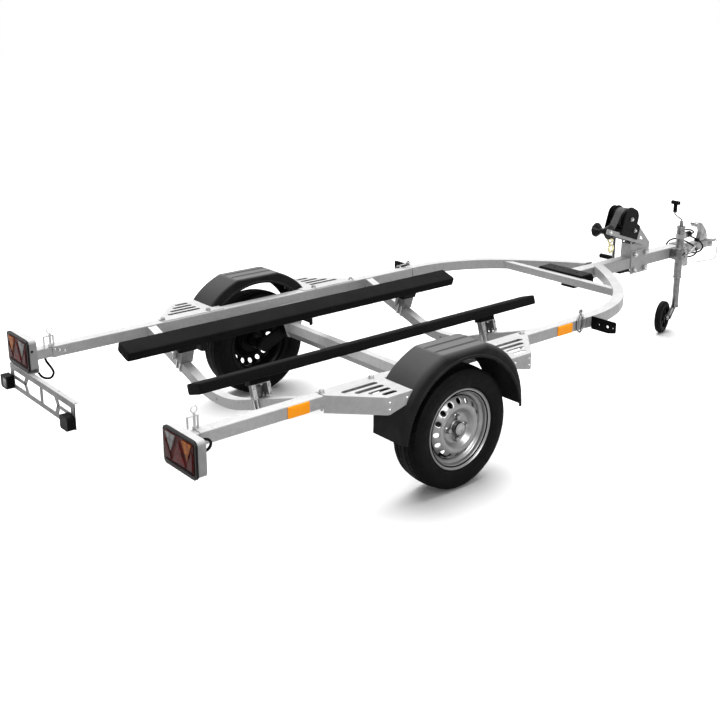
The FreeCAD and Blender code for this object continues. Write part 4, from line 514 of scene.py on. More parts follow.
def square_axes(axis):
    """Two directions square to an axis and to each other."""
    axis = np.asarray(axis, float) / np.linalg.norm(axis)
    helper = UP if abs(axis[2]) < 0.9 else AHEAD
    first = np.cross(helper, axis)
    first /= np.linalg.norm(first)
    return axis, first, np.cross(axis, first)


def turned(profile, place, axis, steps):
    """A round shape: each (along, radius) pair of the profile is carried once about the axis, so a
    point is the place plus along times the axis plus radius times the turning direction."""
    profile = np.asarray(profile, float)
    axis, first, second = square_axes(axis)
    angle = np.linspace(0, 2 * math.pi, steps, endpoint=False)
    direction = np.cos(angle)[:, None] * first + np.sin(angle)[:, None] * second
    points = (np.asarray(place) + profile[:, None, :1] * axis + profile[:, None, 1:] * direction)
    return grid_shape(points)


def turned_ring(section, place, axis, steps):
    """A ring: a closed section of (along, radius) pairs carried once about the axis."""
    axis, first, second = square_axes(axis)
    angle = np.linspace(0, 2 * math.pi, steps, endpoint=False)
    way = np.cos(angle)[:, None] * first + np.sin(angle)[:, None] * second
    section = np.asarray(section, float)
    points = (np.asarray(place) + section[None, :, :1] * axis
              + section[None, :, 1:] * way[:, None, :])
    return grid_shape(points, rows_close=True)


def hexagon_head(place, axis, across, height):
    """A bolt head or nut on a washer: a low round washer and a six-sided head whose top corners are
    cut back."""
    radius = across / math.sqrt(3)
    washer = turned([(0, radius * 1.35), (height * 0.16, radius * 1.35),
                     (height * 0.16, radius * 0.6)], place, axis, 20)
    head = turned([(height * 0.1, radius), (height * 0.84, radius), (height, radius * 0.82),
                   (height, radius * 0.3)], place, axis, 6)
    return [washer, head]


def threaded_end(place, axis, radius, length):
    """The bolt's end past its nut: a round bar with a cut-back tip and shallow rings."""
    rings = 9
    along = np.linspace(0, length * 0.85, rings * 2)
    ridge = radius * (1 - 0.1 * (np.arange(rings * 2) % 2))
    profile = np.stack([np.append(along, length), np.append(ridge, radius * 0.7)], axis=1)
    return turned(profile, place, axis, 12)


def domed_head(place, axis, radius, height):
    """A rivet or button head: its height falls with the square of the distance from its middle."""
    share = np.linspace(1, 0.05, 6)
    profile = np.stack([height * (1 - share ** 2), radius * share], axis=1)
    return turned(profile, place, axis, 16)


def swept(path, radius, sides, normal, closed=False):
    """A round bar along a path: at each point a circle of the radius stands square to the path's
    direction, its first spoke square to the given normal."""
    path = np.asarray(path, float)
    if closed:
        tangent = np.roll(path, -1, axis=0) - np.roll(path, 1, axis=0)
    else:
        tangent = np.gradient(path, axis=0)
    tangent /= np.linalg.norm(tangent, axis=1)[:, None]
    first = np.cross(tangent, np.asarray(normal, float))
    first /= np.linalg.norm(first, axis=1)[:, None]
    second = np.cross(tangent, first)
    angle = np.linspace(0, 2 * math.pi, sides, endpoint=False)
    spokes = (np.cos(angle)[None, :, None] * first[:, None, :]
              + np.sin(angle)[None, :, None] * second[:, None, :])
    size = np.broadcast_to(radius, (len(path),))
    points = path[:, None, :] + spokes * size[:, None, None]
    return grid_shape(points, rows_close=closed)


def rounded_path(corners, radius, steps=6):
    """A path through corners with each inner corner replaced by a quarter-like bend: points of the
    quadratic curve from a point before the corner to a point after it."""
    corners = [np.asarray(corner, float) for corner in corners]
    parts = [corners[:1]]
    share = np.linspace(0, 1, steps)[:, None]
    for before, corner, after in zip(corners, corners[1:], corners[2:]):
        back = before - corner
        ahead = after - corner
        start = corner + back * min(radius / np.linalg.norm(back), 0.5)
        end = corner + ahead * min(radius / np.linalg.norm(ahead), 0.5)
        parts.append((1 - share) ** 2 * start + 2 * share * (1 - share) * corner + share ** 2 * end)
    parts.append(corners[-1:])
    return np.concatenate(parts)


def rounded_corners(points, radius):
    """A closed outline of (y, z) pairs with each corner replaced by points of a quadratic curve."""
    points = np.asarray(points, float)
    back = np.roll(points, 1, axis=0) - points
    ahead = np.roll(points, -1, axis=0) - points
    start = points + back / np.linalg.norm(back, axis=1)[:, None] * radius
    end = points + ahead / np.linalg.norm(ahead, axis=1)[:, None] * radius
    share = np.linspace(0, 1, 5)[None, :, None]
    curve = ((1 - share) ** 2 * start[:, None] + 2 * share * (1 - share) * points[:, None]
             + share ** 2 * end[:, None])
    return curve.reshape(-1, 2)


def weld(start, end, radius, seed):
    """A weld bead: a bar along a line whose radius rises and falls once a ripple, with a little
    wander."""
    start = np.asarray(start, float)
    end = np.asarray(end, float)
    length = np.linalg.norm(end - start)
    count = max(8, int(length / 0.0016))
    share = np.linspace(0, 1, count)
    wander = np.random.default_rng(seed).normal(0, radius * 0.08, (count, 3))
    path = start + share[:, None] * (end - start) + wander
    ends = np.clip(np.minimum(share, 1 - share) * count / 3, 0.15, 1)
    size = radius * (1 + 0.16 * np.abs(np.sin(share * length / 0.0045 * math.pi))) * ends
    helper = UP if abs((end - start)[2]) < 0.9 * length else AHEAD
    return swept(path, size, 8, helper)


# Wheels

TREAD_BLOCKS = 84


def tyre_surface(side):
    """Road tyre: a closed cross section carried once about the wheel axis. The section's radius is
    the CAD outline's; from it are taken four grooves round the tread, narrow cuts across its
    shoulders once a tread block, and to it are added rings and fine ribs on the walls."""
    tread = 0.062
    crown = TYRE_RADIUS
    fall = 0.007
    shoulder = crown - fall
    seat = 0.0618
    widest = TYRE_HALF - 0.0006
    flange = 0.1846
    bead = 0.1662
    wall_z = flange + (crown - flange) / 2
    share = np.linspace(0, 1, 15)[:-1]
    low = math.pi / 2 * share
    low_wall = np.stack([seat + (widest - seat) * np.sin(low),
                         wall_z - (wall_z - flange) * np.cos(low)], axis=1)
    high_wall = np.stack([tread + (widest - tread) * np.cos(low),
                          wall_z + (shoulder - wall_z) * np.sin(low)], axis=1)
    over = np.linspace(tread, -tread, 41)
    crown_line = np.stack([over, crown - fall * (over / tread) ** 2], axis=1)
    half = np.concatenate([[[seat, bead], [seat, (bead + flange) / 2]], low_wall, high_wall])
    mirror = half[::-1] * (-1, 1)
    inner = np.array([[-0.05, bead], [-0.055, 0.2], [-0.064, 0.225], [-0.055, 0.252],
                      [0.055, 0.252], [0.064, 0.225], [0.055, 0.2], [0.05, bead]])
    section = np.concatenate([half, crown_line, mirror, inner])
    width = section[:, 0]
    radius = section[:, 1]
    on_tread = np.zeros(len(section), bool)
    on_tread[len(half):len(half) + len(crown_line)] = True
    outside = np.arange(len(section)) < len(section) - len(inner)
    on_wall = (radius > flange + 0.004) & ~on_tread & outside
    block_steps = 6
    steps = TREAD_BLOCKS * block_steps
    angle = np.arange(steps) / steps * 2 * math.pi
    grooves = sum(np.clip(1.5 - np.abs(width - middle) / 0.0022, 0, 1)
                  for middle in (-0.036, -0.0125, 0.0125, 0.036))
    depth = 0.0065 * grooves * on_tread
    block = np.arange(steps) % block_steps
    cut = (block == 0) | (block == 3)
    edge = np.clip((np.abs(width) - 0.040) / 0.004, 0, 1) * on_tread
    slant = np.clip((0.031 - np.abs(width)) / 0.004, 0, 1) * on_tread * (np.abs(width) > 0.016)
    lateral = np.outer(cut, edge) * 0.0042 + np.outer(block == 1, slant) * 0.0026
    lateral = lateral + np.outer(cut, on_wall & (radius > 0.2595)) * 0.0022
    rings = (0.0006 * (np.abs(np.sin(radius * 900)) > 0.92)
             + 0.0008 * (np.abs(radius - 0.197) < 0.003))
    ribs = np.outer(np.sin(angle * 180) > 0, (radius > 0.246) & (radius < 0.262) & on_wall) * 0.0005
    push = np.sign(width) * (rings * on_wall)[None, :] + np.sign(width) * ribs
    total = radius[None, :] - np.maximum(depth[None, :], lateral)
    across = side * (WHEEL_Y + width[None, :] + push)
    points = np.stack([WHEEL_X + total * np.cos(angle)[:, None],
                       np.broadcast_to(across, total.shape),
                       WHEEL_Z + total * np.sin(angle)[:, None]], axis=-1)
    return grid_shape(points, rows_close=True)


SECTORS = 16
EDGE_STEPS = 8
DISC_SHEET = 0.0045

# The silver reaches out to this radius on the disc and in to this height over the middle plane.
SILVER_RADIUS = 0.1408
SILVER_HEIGHT = 0.0304


def disc_height(radius):
    """Height of the disc's face over the wheel's middle plane at a radius: a flat for the hub, a
    smooth rise to a crown and a slope down to the barrel. Straight lines through set points are
    smoothed by a moving average."""
    knots = np.array([0.030, 0.064, 0.070, 0.078, 0.088, 0.098, 0.108, 0.1235, 0.1355, 0.1412])
    heights = np.array([0.0350, 0.0350, 0.0368, 0.0450, 0.0560, 0.0602, 0.0590, 0.0508, 0.0405,
                        0.0330])
    fine = np.linspace(knots[0], knots[-1], 400)
    line = np.interp(fine, knots, heights)
    kernel = np.hanning(25)
    padded = np.concatenate([np.full(12, line[0]), line, np.full(12, line[-1])])
    return np.interp(radius, fine, np.convolve(padded, kernel / kernel.sum(), "valid"))


def disc_point(angle, radius, height, side):
    """Places of the wheel's own coordinates: round the axis from the top, out from it and along
    it."""
    return np.stack(np.broadcast_arrays(WHEEL_X + radius * np.sin(angle), side * (WHEEL_Y + height),
                                        WHEEL_Z + radius * np.cos(angle)), axis=-1)


def pierced_band(side):
    """The disc's band with its ring of round holes. Each sector is a closed fan of points between a
    hole's circle and the sector's four-sided border, on the face; the same fan a sheet's thickness
    lower is the back, and the fans' inner edges are joined by the hole's pressed-in wall."""
    low, high = 0.108, 0.139
    hole_radius, middle = 0.0118, 0.1238
    half_sector = math.pi / SECTORS
    line = np.linspace(-1, 1, EDGE_STEPS + 1)[:-1]
    ones = np.ones(EDGE_STEPS)
    border = np.concatenate([np.stack([line, -ones], 1), np.stack([ones, line], 1),
                             np.stack([-line, ones], 1), np.stack([-ones, -line], 1)])
    border_angle = border[:, 0] * half_sector
    border_radius = (low + high) / 2 + border[:, 1] * (high - low) / 2
    around = np.arctan2(border[:, 1], border[:, 0])
    circle_angle = np.cos(around) * hole_radius / middle
    circle_radius = middle + np.sin(around) * hole_radius
    share = np.array([1, 0.75, 0.5, 0.25, 0.1, 0.0])[:, None]
    radius = circle_radius + (border_radius - circle_radius) * share
    angle = circle_angle + (border_angle - circle_angle) * share
    sink = 0.0016 * np.array([0, 0, 0, 0.1, 0.5, 1.0])[:, None]
    face = disc_height(radius) - sink
    shapes = []
    for sector in range(SECTORS):
        turn = sector * 2 * half_sector
        rows = np.concatenate([disc_point(angle + turn, radius, face, side),
                               disc_point((angle + turn)[::-1], radius[::-1],
                                          (face - DISC_SHEET)[::-1], side)])
        shapes.append(grid_shape(rows, capped=False))
    return shapes


def disc_rings(side):
    """The disc inside and outside its pierced band and the barrel: turned in the same number of
    steps as the band's border, so that their edges meet point to point. The barrel's section runs
    from the outer flange over two pressed ridges and the well to the inner flange."""
    steps = SECTORS * EDGE_STEPS
    angle = (np.arange(steps) / steps * 2 - 1 / SECTORS) * math.pi
    inner = np.concatenate([[0.031], np.linspace(0.034, 0.064, 5), np.linspace(0.067, 0.108, 22)])
    outer = np.linspace(0.139, 0.1412, 3)
    inner_face = disc_height(inner)
    outer_face = disc_height(outer)
    inner_rows = np.concatenate([np.stack([inner, inner_face], 1)[::-1],
                                 np.stack([inner, inner_face - DISC_SHEET], 1)])
    back = disc_height(0.139) - DISC_SHEET
    outer_rows = np.concatenate([np.stack([outer, outer_face], 1),
                                 [[0.1412, 0.010], [0.1372, 0.010], [0.1372, back]],
                                 [[0.139, back]]])
    barrel = np.array([
        (0.1815, 0.0668), (0.1826, 0.0655), (0.1824, 0.0636), (0.1790, 0.0620), (0.1772, 0.0636),
        (0.1758, 0.0640), (0.1730, 0.0628), (0.1705, 0.0600), (0.1690, 0.0588), (0.1655, 0.0582),
        (0.1632, 0.0560), (0.1622, 0.0520), (0.1606, 0.0470), (0.1612, 0.0440), (0.1600, 0.0410),
        (0.1560, 0.0385), (0.1500, 0.0350), (0.1440, 0.0290), (0.1418, 0.0220), (0.1414, 0.0),
        (0.1414, -0.0240), (0.1500, -0.0340), (0.1608, -0.0400), (0.1608, -0.0560),
        (0.1640, -0.0605), (0.1740, -0.0630), (0.1790, -0.0650), (0.1815, -0.0668),
        (0.1826, -0.0650), (0.1810, -0.0630), (0.1740, -0.0605), (0.1662, -0.0590),
        (0.1655, -0.0420), (0.1500, -0.0310), (0.1462, -0.0220), (0.1462, 0.0220),
        (0.1500, 0.0310), (0.1655, 0.0420), (0.1662, 0.0570), (0.1745, 0.0600),
        (0.1790, 0.0640)])
    shapes = []
    for section, close in ((inner_rows, False), (outer_rows, False), (barrel, True)):
        rows = disc_point(angle[None, :], section[:, :1], section[:, 1:], side)
        shapes.append(grid_shape(rows, rows_close=close, capped=False))
    return shapes


def wheel_fittings(side):
    """Bright parts on the wheel: four wheel bolts with cone seats, and a domed grease cap with a
    pressed lip."""
    out = np.array([0, side, 0.0])
    ring = 0.05
    shapes = []
    for turn in np.arange(4) * math.pi / 2:
        place = at(ring * math.sin(turn), side * (WHEEL_Y + 0.0352),
                   WHEEL_Z + ring * math.cos(turn))
        shapes.append(turned([(0, 0.0148), (0.0022, 0.0148), (0.0052, 0.0122), (0.0052, 0.005)],
                             place, out, 18))
        shapes.append(turned([(0.004, 0.0126), (0.016, 0.0126), (0.0192, 0.0102), (0.0192, 0.003)],
                             place, out, 6))
    hub = at(0, side * (WHEEL_Y + 0.030), WHEEL_Z)
    shapes.append(turned([(0.005, 0.0335), (0.0085, 0.0335), (0.0105, 0.0305), (0.028, 0.0302),
                          (0.0335, 0.0285), (0.0352, 0.024), (0.0345, 0.018), (0.036, 0.012),
                          (0.0366, 0.001)], hub, out, 48))
    return shapes


def valve_stem(side):
    """Rubber valve: a conical foot in the rim, a slender stem and a capped end."""
    place = at(-0.104, side * (WHEEL_Y + 0.047), WHEEL_Z - 0.0905)
    return [turned([(0, 0.008), (0.004, 0.0078), (0.008, 0.0052), (0.021, 0.0046), (0.022, 0.0036),
                    (0.029, 0.0036), (0.030, 0.0042), (0.038, 0.0042), (0.040, 0.003)],
                   place, (0, side, 0), 16)]


for name, side in BOTH_SIDES:
    wheel = "wheel_" + name
    tyre = piece("road_tyre_" + name, [tyre_surface(side)], TYRE_RUBBER, wheel, 35)
    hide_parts("tyre_" + name)
    disc = piece("steel_wheel_" + name, pierced_band(side) + disc_rings(side), WHEEL_SILVER, wheel,
                 50, joined=0.00002)
    middles, normals = face_arrays(disc)
    radius = np.hypot(middles[:, 0] - WHEEL_X, middles[:, 2] - WHEEL_Z)
    # Black on the disc's back and inboard faces: the wheel's own black coat, and painted shade for
    # the dark inside of the wheel.
    back = (radius < SILVER_RADIUS) & (normals[:, 1] * side < -0.05)
    paint_faces(disc, BLACK_COAT, (middles[:, 1] * side < WHEEL_Y + SILVER_HEIGHT) | back)
    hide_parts("rim_" + name)
    piece("wheel_fittings_" + name, wheel_fittings(side), ZINC, wheel)
    piece("valve_stem_" + name, valve_stem(side), ROLLER_RUBBER, wheel)


# Bunks

def carpeted_board(side):
    """A board wrapped in carpet: its length is a grid of cross sections, each a rounded rectangle
    whose skin is lifted by a smooth padding swell and small seeded ripples; towards both ends the
    section is drawn in, where the carpet is folded over. The wrapped board is broader and thicker
    than the bare one, and lies a little further out on its blocks."""
    name = "bunk_left" if side > 0 else "bunk_right"
    low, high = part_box(name)
    half_x = (high.x - low.x) / 2
    mid_x = (high.x + low.x) / 2
    thick, wide, outward = 0.048, 0.104, 0.019
    bare_half = 0.020
    mid_y = (low.y + high.y) / 2
    mid_z = (low.z + high.z) / 2
    around = 96
    angle = np.arange(around) / around * 2 * math.pi
    power = 0.27
    cosine = np.cos(angle)
    sine = np.sin(angle)
    across = np.sign(cosine) * np.abs(cosine) ** power
    upright = np.sign(sine) * np.abs(sine) ** power
    lengths = np.concatenate([[-1, -1, -0.9995, -0.998, -0.995], np.linspace(-0.99, 0.99, 260),
                              [0.995, 0.998, 0.9995, 1, 1]])
    draw = np.interp(np.abs(lengths), [0, 0.99, 0.995, 0.998, 0.9995, 1],
                     [1, 1, 0.99, 0.965, 0.93, 0.88])
    draw[[0, -1]] = 0.3
    rng = np.random.default_rng(11 + (side > 0))
    phase = rng.uniform(0, 2 * math.pi, 6)
    along = lengths[:, None] * half_x
    ripple = sum(np.sin(along * rate + angle[None, :] * (k % 3) + phase[k]) / 6
                 for k, rate in enumerate((9.0, 17.0, 31.0, 47.0, 71.0, 113.0)))
    skin = 1 - 0.006 * (1 - ripple)
    u = outward + (wide / 2) * across[None, :] * draw[:, None] * skin
    v = (thick / 2 - bare_half + (thick / 2) * upright[None, :] * (0.5 + 0.5 * draw[:, None])
         * (skin - 0.01 * (1 - ripple)))
    y = u * math.cos(MEMBER_TILT) - v * math.sin(MEMBER_TILT)
    z = u * math.sin(MEMBER_TILT) + v * math.cos(MEMBER_TILT)
    points = np.stack([np.broadcast_to(mid_x + along, y.shape), mid_y + side * y, mid_z + z],
                      axis=-1)
    return grid_shape(points)


def bunk_seam(side):
    """The row of staples in the carpet's lap on the board's lower face: each is a thin bar bent
    down at both ends."""
    low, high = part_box("bunk_left" if side > 0 else "bunk_right")
    mid = np.array([(low.x + high.x) / 2, (low.y + high.y) / 2, (low.z + high.z) / 2])
    down = np.array([0, side * math.sin(MEMBER_TILT), -math.cos(MEMBER_TILT)])
    across = np.array([0, side * math.cos(MEMBER_TILT), math.sin(MEMBER_TILT)])
    count = 33
    half = (high.x - low.x) / 2 - 0.03
    shapes = []
    for x in np.linspace(-half, half, count):
        place = mid + down * 0.0196 + across * 0.012 + AHEAD * x
        path = [place - AHEAD * 0.006, place - AHEAD * 0.006 + down * 0.0016,
                place + AHEAD * 0.006 + down * 0.0016, place + AHEAD * 0.006]
        shapes.append(swept(path, 0.0006, 6, across))
    return shapes


for name, side in BOTH_SIDES:
    board = piece("carpeted_bunk_" + name, [carpeted_board(side)], CARPET, "frame",
                  60)
    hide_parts("bunk_" + name)
    piece("bunk_staples_" + name, bunk_seam(side), FASTENER, "frame")


# Lamps

def field(outline, x_back, x_face, inset):
    """A raised lens field: an outline of (y, z) pairs at the back and the same outline drawn
    towards its middle by a share at the face."""
    outline = np.asarray(outline, float)
    middle = outline.mean(axis=0)
    rows = []
    for x, share in ((x_back, 1.0), ((x_back + x_face) / 2, 1.0), (x_face, 1 - inset),
                     (x_face - 0.0002, 0.5 - inset)):
        pairs = middle + (outline - middle) * share
        rows.append(np.column_stack([np.full(len(pairs), x), pairs]))
    return grid_shape(np.stack(rows))


def lamp_fields(side):
    """A lens's fields, each an outline and its finish, in shares of the lens from its inner edge
    outward and from its foot up: clear reversing lamp, amber turning lamp, red reflector triangle,
    black foot strip and deep red corners. With them comes the place of the lens's face."""
    low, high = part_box("lamp_lens_left")
    face = low.x

    def spot(pairs):
        """Places on the lens for pairs of shares."""
        pairs = np.asarray(pairs, float)
        y = low.y + (high.y - low.y) * pairs[:, 0]
        z = low.z + (high.z - low.z) * pairs[:, 1]
        return np.stack([side * y, z], axis=1)

    clear = rounded_corners(spot([(0.05, 0.95), (0.40, 0.95), (0.225, 0.38)]), 0.007)
    amber = rounded_corners(spot([(0.60, 0.95), (0.95, 0.95), (0.775, 0.38)]), 0.007)
    middle = rounded_corners(spot([(0.27, 0.14), (0.73, 0.14), (0.50, 0.88)]), 0.008)
    foot = rounded_corners(spot([(0.03, 0.03), (0.97, 0.03), (0.97, 0.10), (0.03, 0.10)]), 0.003)
    inner = rounded_corners(spot([(0.04, 0.14), (0.24, 0.14), (0.20, 0.34), (0.04, 0.74)]), 0.005)
    outer = rounded_corners(spot([(0.76, 0.14), (0.96, 0.14), (0.96, 0.74), (0.80, 0.34)]), 0.005)
    return {"clear": (clear, CLEAR_LENS), "amber": (amber, AMBER_LENS),
            "middle": (middle, RED_LENS), "foot": (foot, BLACK_PLASTIC),
            "inner": (inner, DEEP_RED_LENS), "outer": (outer, DEEP_RED_LENS)}, face


for name, side in BOTH_SIDES:
    body = "lamp_arm_" + name
    fields, lens_face = lamp_fields(side)
    for field_name, (outline, finish) in fields.items():
        piece("lens_" + field_name + "_" + name,
              [field(outline, lens_face + 0.001, lens_face - 0.0022, 0.06)], finish, body)
    lamp_mid = side * (LAMP_LOW.y + LAMP_HIGH.y) / 2
    dots = [domed_head((LAMP_LOW.x + 0.022, lamp_mid - side * 0.1105, LAMP_LOW.z + 0.095),
                       (0, -side, 0), 0.006, 0.0025)]
    for y in (-0.103, 0.103):
        dots += [domed_head((LAMP_LOW.x - 0.0002, lamp_mid + y, LAMP_LOW.z + z), (-1, 0, 0), 0.0032,
                            0.0012) for z in (0.012, 0.135)]
    piece("lamp_screws_" + name, dots, BLACK_PLASTIC, body)


# Cords

def cord_curve(name, points, diameter, material, body):
    """A cord as one open smooth curve led by the route's points."""
    curve = bpy.data.curves.new(name, "CURVE")
    curve.dimensions = "3D"
    curve.bevel_depth = diameter / 2
    curve.bevel_resolution = 4
    curve.resolution_u = 12
    curve.use_fill_caps = True
    line = curve.splines.new("NURBS")
    line.points.add(len(points) - 1)
    flat = np.column_stack([np.asarray(points, float), np.ones(len(points))]).ravel()
    line.points.foreach_set("co", flat)
    line.order_u = 3
    line.use_endpoint_u = True
    curve.materials.append(material)
    made = bpy.data.objects.new(name, curve)
    bpy.context.scene.collection.objects.link(made)
    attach(made, body)
    return made


def nose_points(pairs):
    """Route points in millimetres, ahead of the drawbar's front end, to the left of the trailer's
    middle and above the drawbar's middle, as places in metres."""
    return np.asarray(pairs, float) / 1000 + (BAR_FRONT, 0, BAR_MID)


LEAD_ROUTE = [
    (-102.1, -44.9, 8), (-83.7, -63.3, 8), (-66, -70, -14), (-56, -58, -44), (-56, -28, -64),
    (-62, 8, -66), (-72, 42, -54), (-80, 64, -22), (-82, 66, 18), (-78, 48, 54), (-68, 8, 72),
    (-52, -32, 66), (-16, -60, 46), (34, -70, 14), (74, -64, -22), (86, -38, -56), (66, 2, -72),
    (36, 40, -60), (20, 64, -26), (20, 64, 20), (32, 44, 58), (40, 6, 80), (58, -36, 68),
    (102, -60, 40), (144, -62, 2), (156, -42, -34), (132, -8, -54), (96, 32, -50), (76, 60, -20),
    (70, 68, 22), (52, 64, 66), (40, 38, 98), (32, 2, 116), (22, -38, 122), (6, -72, 118),
    (-18, -86, 116), (-44, -86, 116)]
CABLE_ROUTE = [
    (13, -35, -92), (40, -35, -92), (80, -44, -98), (130, -50, -102), (186, -52, -102),
    (240, -52, -107), (292, -48, -112), (338, -36, -108), (374, -20, -92), (392, -8, -68),
    (400, -3, -43), (402, 0, -17), (383, 0, 3), (357, 0, 3)]

lead = cord_curve("wired_lead", nose_points(LEAD_ROUTE), 0.010, SHEATH, "frame")
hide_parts("trailer_lead")
cable = cord_curve("safety_cable", nose_points(CABLE_ROUTE), 0.005, CABLE_SHEATH, "frame")
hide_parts("breakaway_cable")
cable_end = nose_points(CABLE_ROUTE)[-1]
crimp = piece("cable_crimp", [turned([(0, 0.0032), (0, 0.0056), (0.002, 0.0062), (0.010, 0.0054),
                                      (0.012, 0.0054), (0.020, 0.0062), (0.022, 0.0056),
                                      (0.022, 0.0032)], cable_end, (1, 0, 0), 20)],
              FASTENER, "frame")

# Short lamp cables: out of each lamp's back, hanging in a bend, and into the carrier's tube.
LAMP_CABLES = {
    "left": [(-1.252, 0.660, 0.452), (-1.240, 0.652, 0.420), (-1.224, 0.642, 0.384),
             (-1.186, 0.634, 0.372), (-1.166, 0.634, 0.398), (-1.184, 0.638, 0.434),
             (-1.202, 0.640, 0.462), (-1.204, 0.640, 0.484)],
    "right": [(-1.252, -0.706, 0.520), (-1.226, -0.706, 0.530), (-1.186, -0.704, 0.530),
              (-1.160, -0.698, 0.508), (-1.166, -0.690, 0.478), (-1.192, -0.672, 0.462),
              (-1.210, -0.650, 0.468), (-1.212, -0.644, 0.484)]}
for name, places in LAMP_CABLES.items():
    route = [at(*place) for place in places]
    lamp_lead = cord_curve("lamp_cable_" + name, route, 0.011, SHEATH, "lamp_arm_" + name)


# Fasteners, welds and fittings

# Outer edge and thickness of the mudguard brackets; a cross member's distance from the wheel axis;
# a bunk bracket's middle, foot and height; the winch post's place and its arm's slope.
WING_OUT = 0.838
WING_SHEET = 0.003
MEMBER_X = 0.680
BUNK_Y = 0.310
SEAT_Z = 0.4364
BRACKET_HIGH = 0.0636
POST_X = BAR_FRONT - 0.590
ARM_RISE = math.radians(18.0)
CLAMP_LOW, CLAMP_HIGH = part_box("post_clamp")

# The shafts of drum and crank: how far back from the arm's foot and how far over the arm.
DRUM_SHAFT = (0.144, 0.124)
CRANK_SHAFT = (0.088, 0.066)


def arm_place(back, up, y=0.0):
    """A place on the sloping winch arm: so far back from its foot and so far over it."""
    return np.array([POST_X + 0.054 - back * math.cos(ARM_RISE) + up * math.sin(ARM_RISE), y,
                     0.610 + back * math.sin(ARM_RISE) + up * math.cos(ARM_RISE)])


ARM_AHEAD = np.array([math.cos(ARM_RISE), 0, -math.sin(ARM_RISE)])
ARM_UP = np.array([math.sin(ARM_RISE), 0, math.cos(ARM_RISE)])


def on_member(x, y, z, side):
    """A place near a bunk bracket: y out from the trailer's middle and z over the cross member's
    top, both turned by the member's slope."""
    aside = y - BUNK_Y
    return at(x, side * (BUNK_Y + aside * math.cos(MEMBER_TILT) - z * math.sin(MEMBER_TILT)),
              SEAT_Z + aside * math.sin(MEMBER_TILT) + z * math.cos(MEMBER_TILT))


def wing_fasteners():
    """Bolts through the wings and rails, with nuts below, and rivets in the wings' end faces."""
    bolts = []
    for side in SIDES:
        for end in SIDES:
            for x in (end * 0.588 + WING_SHIFT, end * 0.330 + WING_SHIFT):
                bolts += hexagon_head(at(x, side * RAIL_MIDDLE, RAIL_TOP + WING_SHEET), UP, 0.019,
                                      0.0125)
                bolts += hexagon_head(at(x, side * RAIL_MIDDLE, RAIL_BASE), -UP, 0.019, 0.012)
                bolts.append(threaded_end(at(x, side * RAIL_MIDDLE, RAIL_BASE - 0.012), -UP, 0.0055,
                                          0.009))
            for x, z in ((0.409, 0.512), (0.409, 0.482), (0.318, 0.512), (0.318, 0.482)):
                bolts.append(domed_head(at(end * x + WING_SHIFT, side * WING_OUT, z), LEFT * side,
                                        0.0062, 0.0032))
    return bolts


def bracket_fasteners():
    """At each bunk bracket: four lip bolts, two coach bolts up into the board and the nuts of two
    bow bolts round the cross member."""
    bolts = []
    for side in SIDES:
        out = np.array([0, side * math.cos(MEMBER_TILT), math.sin(MEMBER_TILT)])
        over = np.array([0, -side * math.sin(MEMBER_TILT), math.cos(MEMBER_TILT)])
        for end in SIDES:
            middle = end * MEMBER_X
            for x in (-0.038, 0.038):
                for z in (0.014, 0.050):
                    bolts += hexagon_head(on_member(middle + x, BUNK_Y + 0.026, z, side), out,
                                          0.010, 0.007)
            for x in (-0.016, 0.016):
                bolts += hexagon_head(on_member(middle + x, BUNK_Y, 0.060, side), -over, 0.013,
                                      0.009)
            for x in (-0.0262, 0.0262):
                for y in (-0.014, 0.014):
                    place = on_member(middle + x, BUNK_Y + y, 0.004, side)
                    bolts += hexagon_head(place, over, 0.013, 0.008)
                    bolts.append(threaded_end(place + over * 0.008, over, 0.0038, 0.009))
    return bolts


def bow_bolts():
    """Bow bolts round the cross members: a round bar down one side, below and up the other."""
    half, low, high = 0.0268, -0.0495, 0.004
    bars = []
    for side in SIDES:
        for end in SIDES:
            middle = end * MEMBER_X
            for y in (-0.014, 0.014):
                corners = [on_member(middle + x, BUNK_Y + y, z, side)
                           for x, z in ((-half, high), (-half, low), (half, low), (half, high))]
                bars.append(swept(rounded_path(corners, 0.012), 0.004, 10, (0, side, 0.3)))
    return bars


def front_fasteners():
    """Bolts of the post's clamp plates and the coupling's sleeve."""
    bolts = []
    for side in SIDES:
        out = LEFT * side
        for along in (0.19, 0.80):
            for up in (0.16, 0.83):
                place = np.array([CLAMP_LOW.x + along * (CLAMP_HIGH.x - CLAMP_LOW.x),
                                  side * CLAMP_HIGH.y,
                                  CLAMP_LOW.z + up * (CLAMP_HIGH.z - CLAMP_LOW.z)])
                bolts += hexagon_head(place, out, 0.020, 0.011)
        for x in (-0.024, -0.068):
            z = BAR_MID + 0.004
            bolts += hexagon_head(np.array([BAR_FRONT + x, side * (BAR_HALF + 0.004), z]), out,
                                  0.019, 0.012)
            bolts.append(threaded_end(np.array([BAR_FRONT + x, -BAR_HALF - 0.016, z]), -LEFT,
                                      0.0055, 0.007))
    return bolts


def rail_end_fasteners():
    """Screws at the rails' rear ends that steady the lamp carriers: three inside and one below."""
    bolts = []
    for side in SIDES:
        for x in (-1.125, -1.150, -1.172):
            bolts += hexagon_head(at(x, side * RAIL_IN, 0.512 - (x + 1.15) * 0.3), -LEFT * side,
                                  0.010, 0.007)
        bolts += hexagon_head(at(-1.158, side * RAIL_MIDDLE, RAIL_BASE), -UP, 0.013, 0.009)
        for x, y in ((-1.120, 0.646), (-1.090, 0.612)):
            bolts.append(domed_head(at(x, side * y, RAIL_TOP), UP, 0.0055, 0.003))
    return bolts


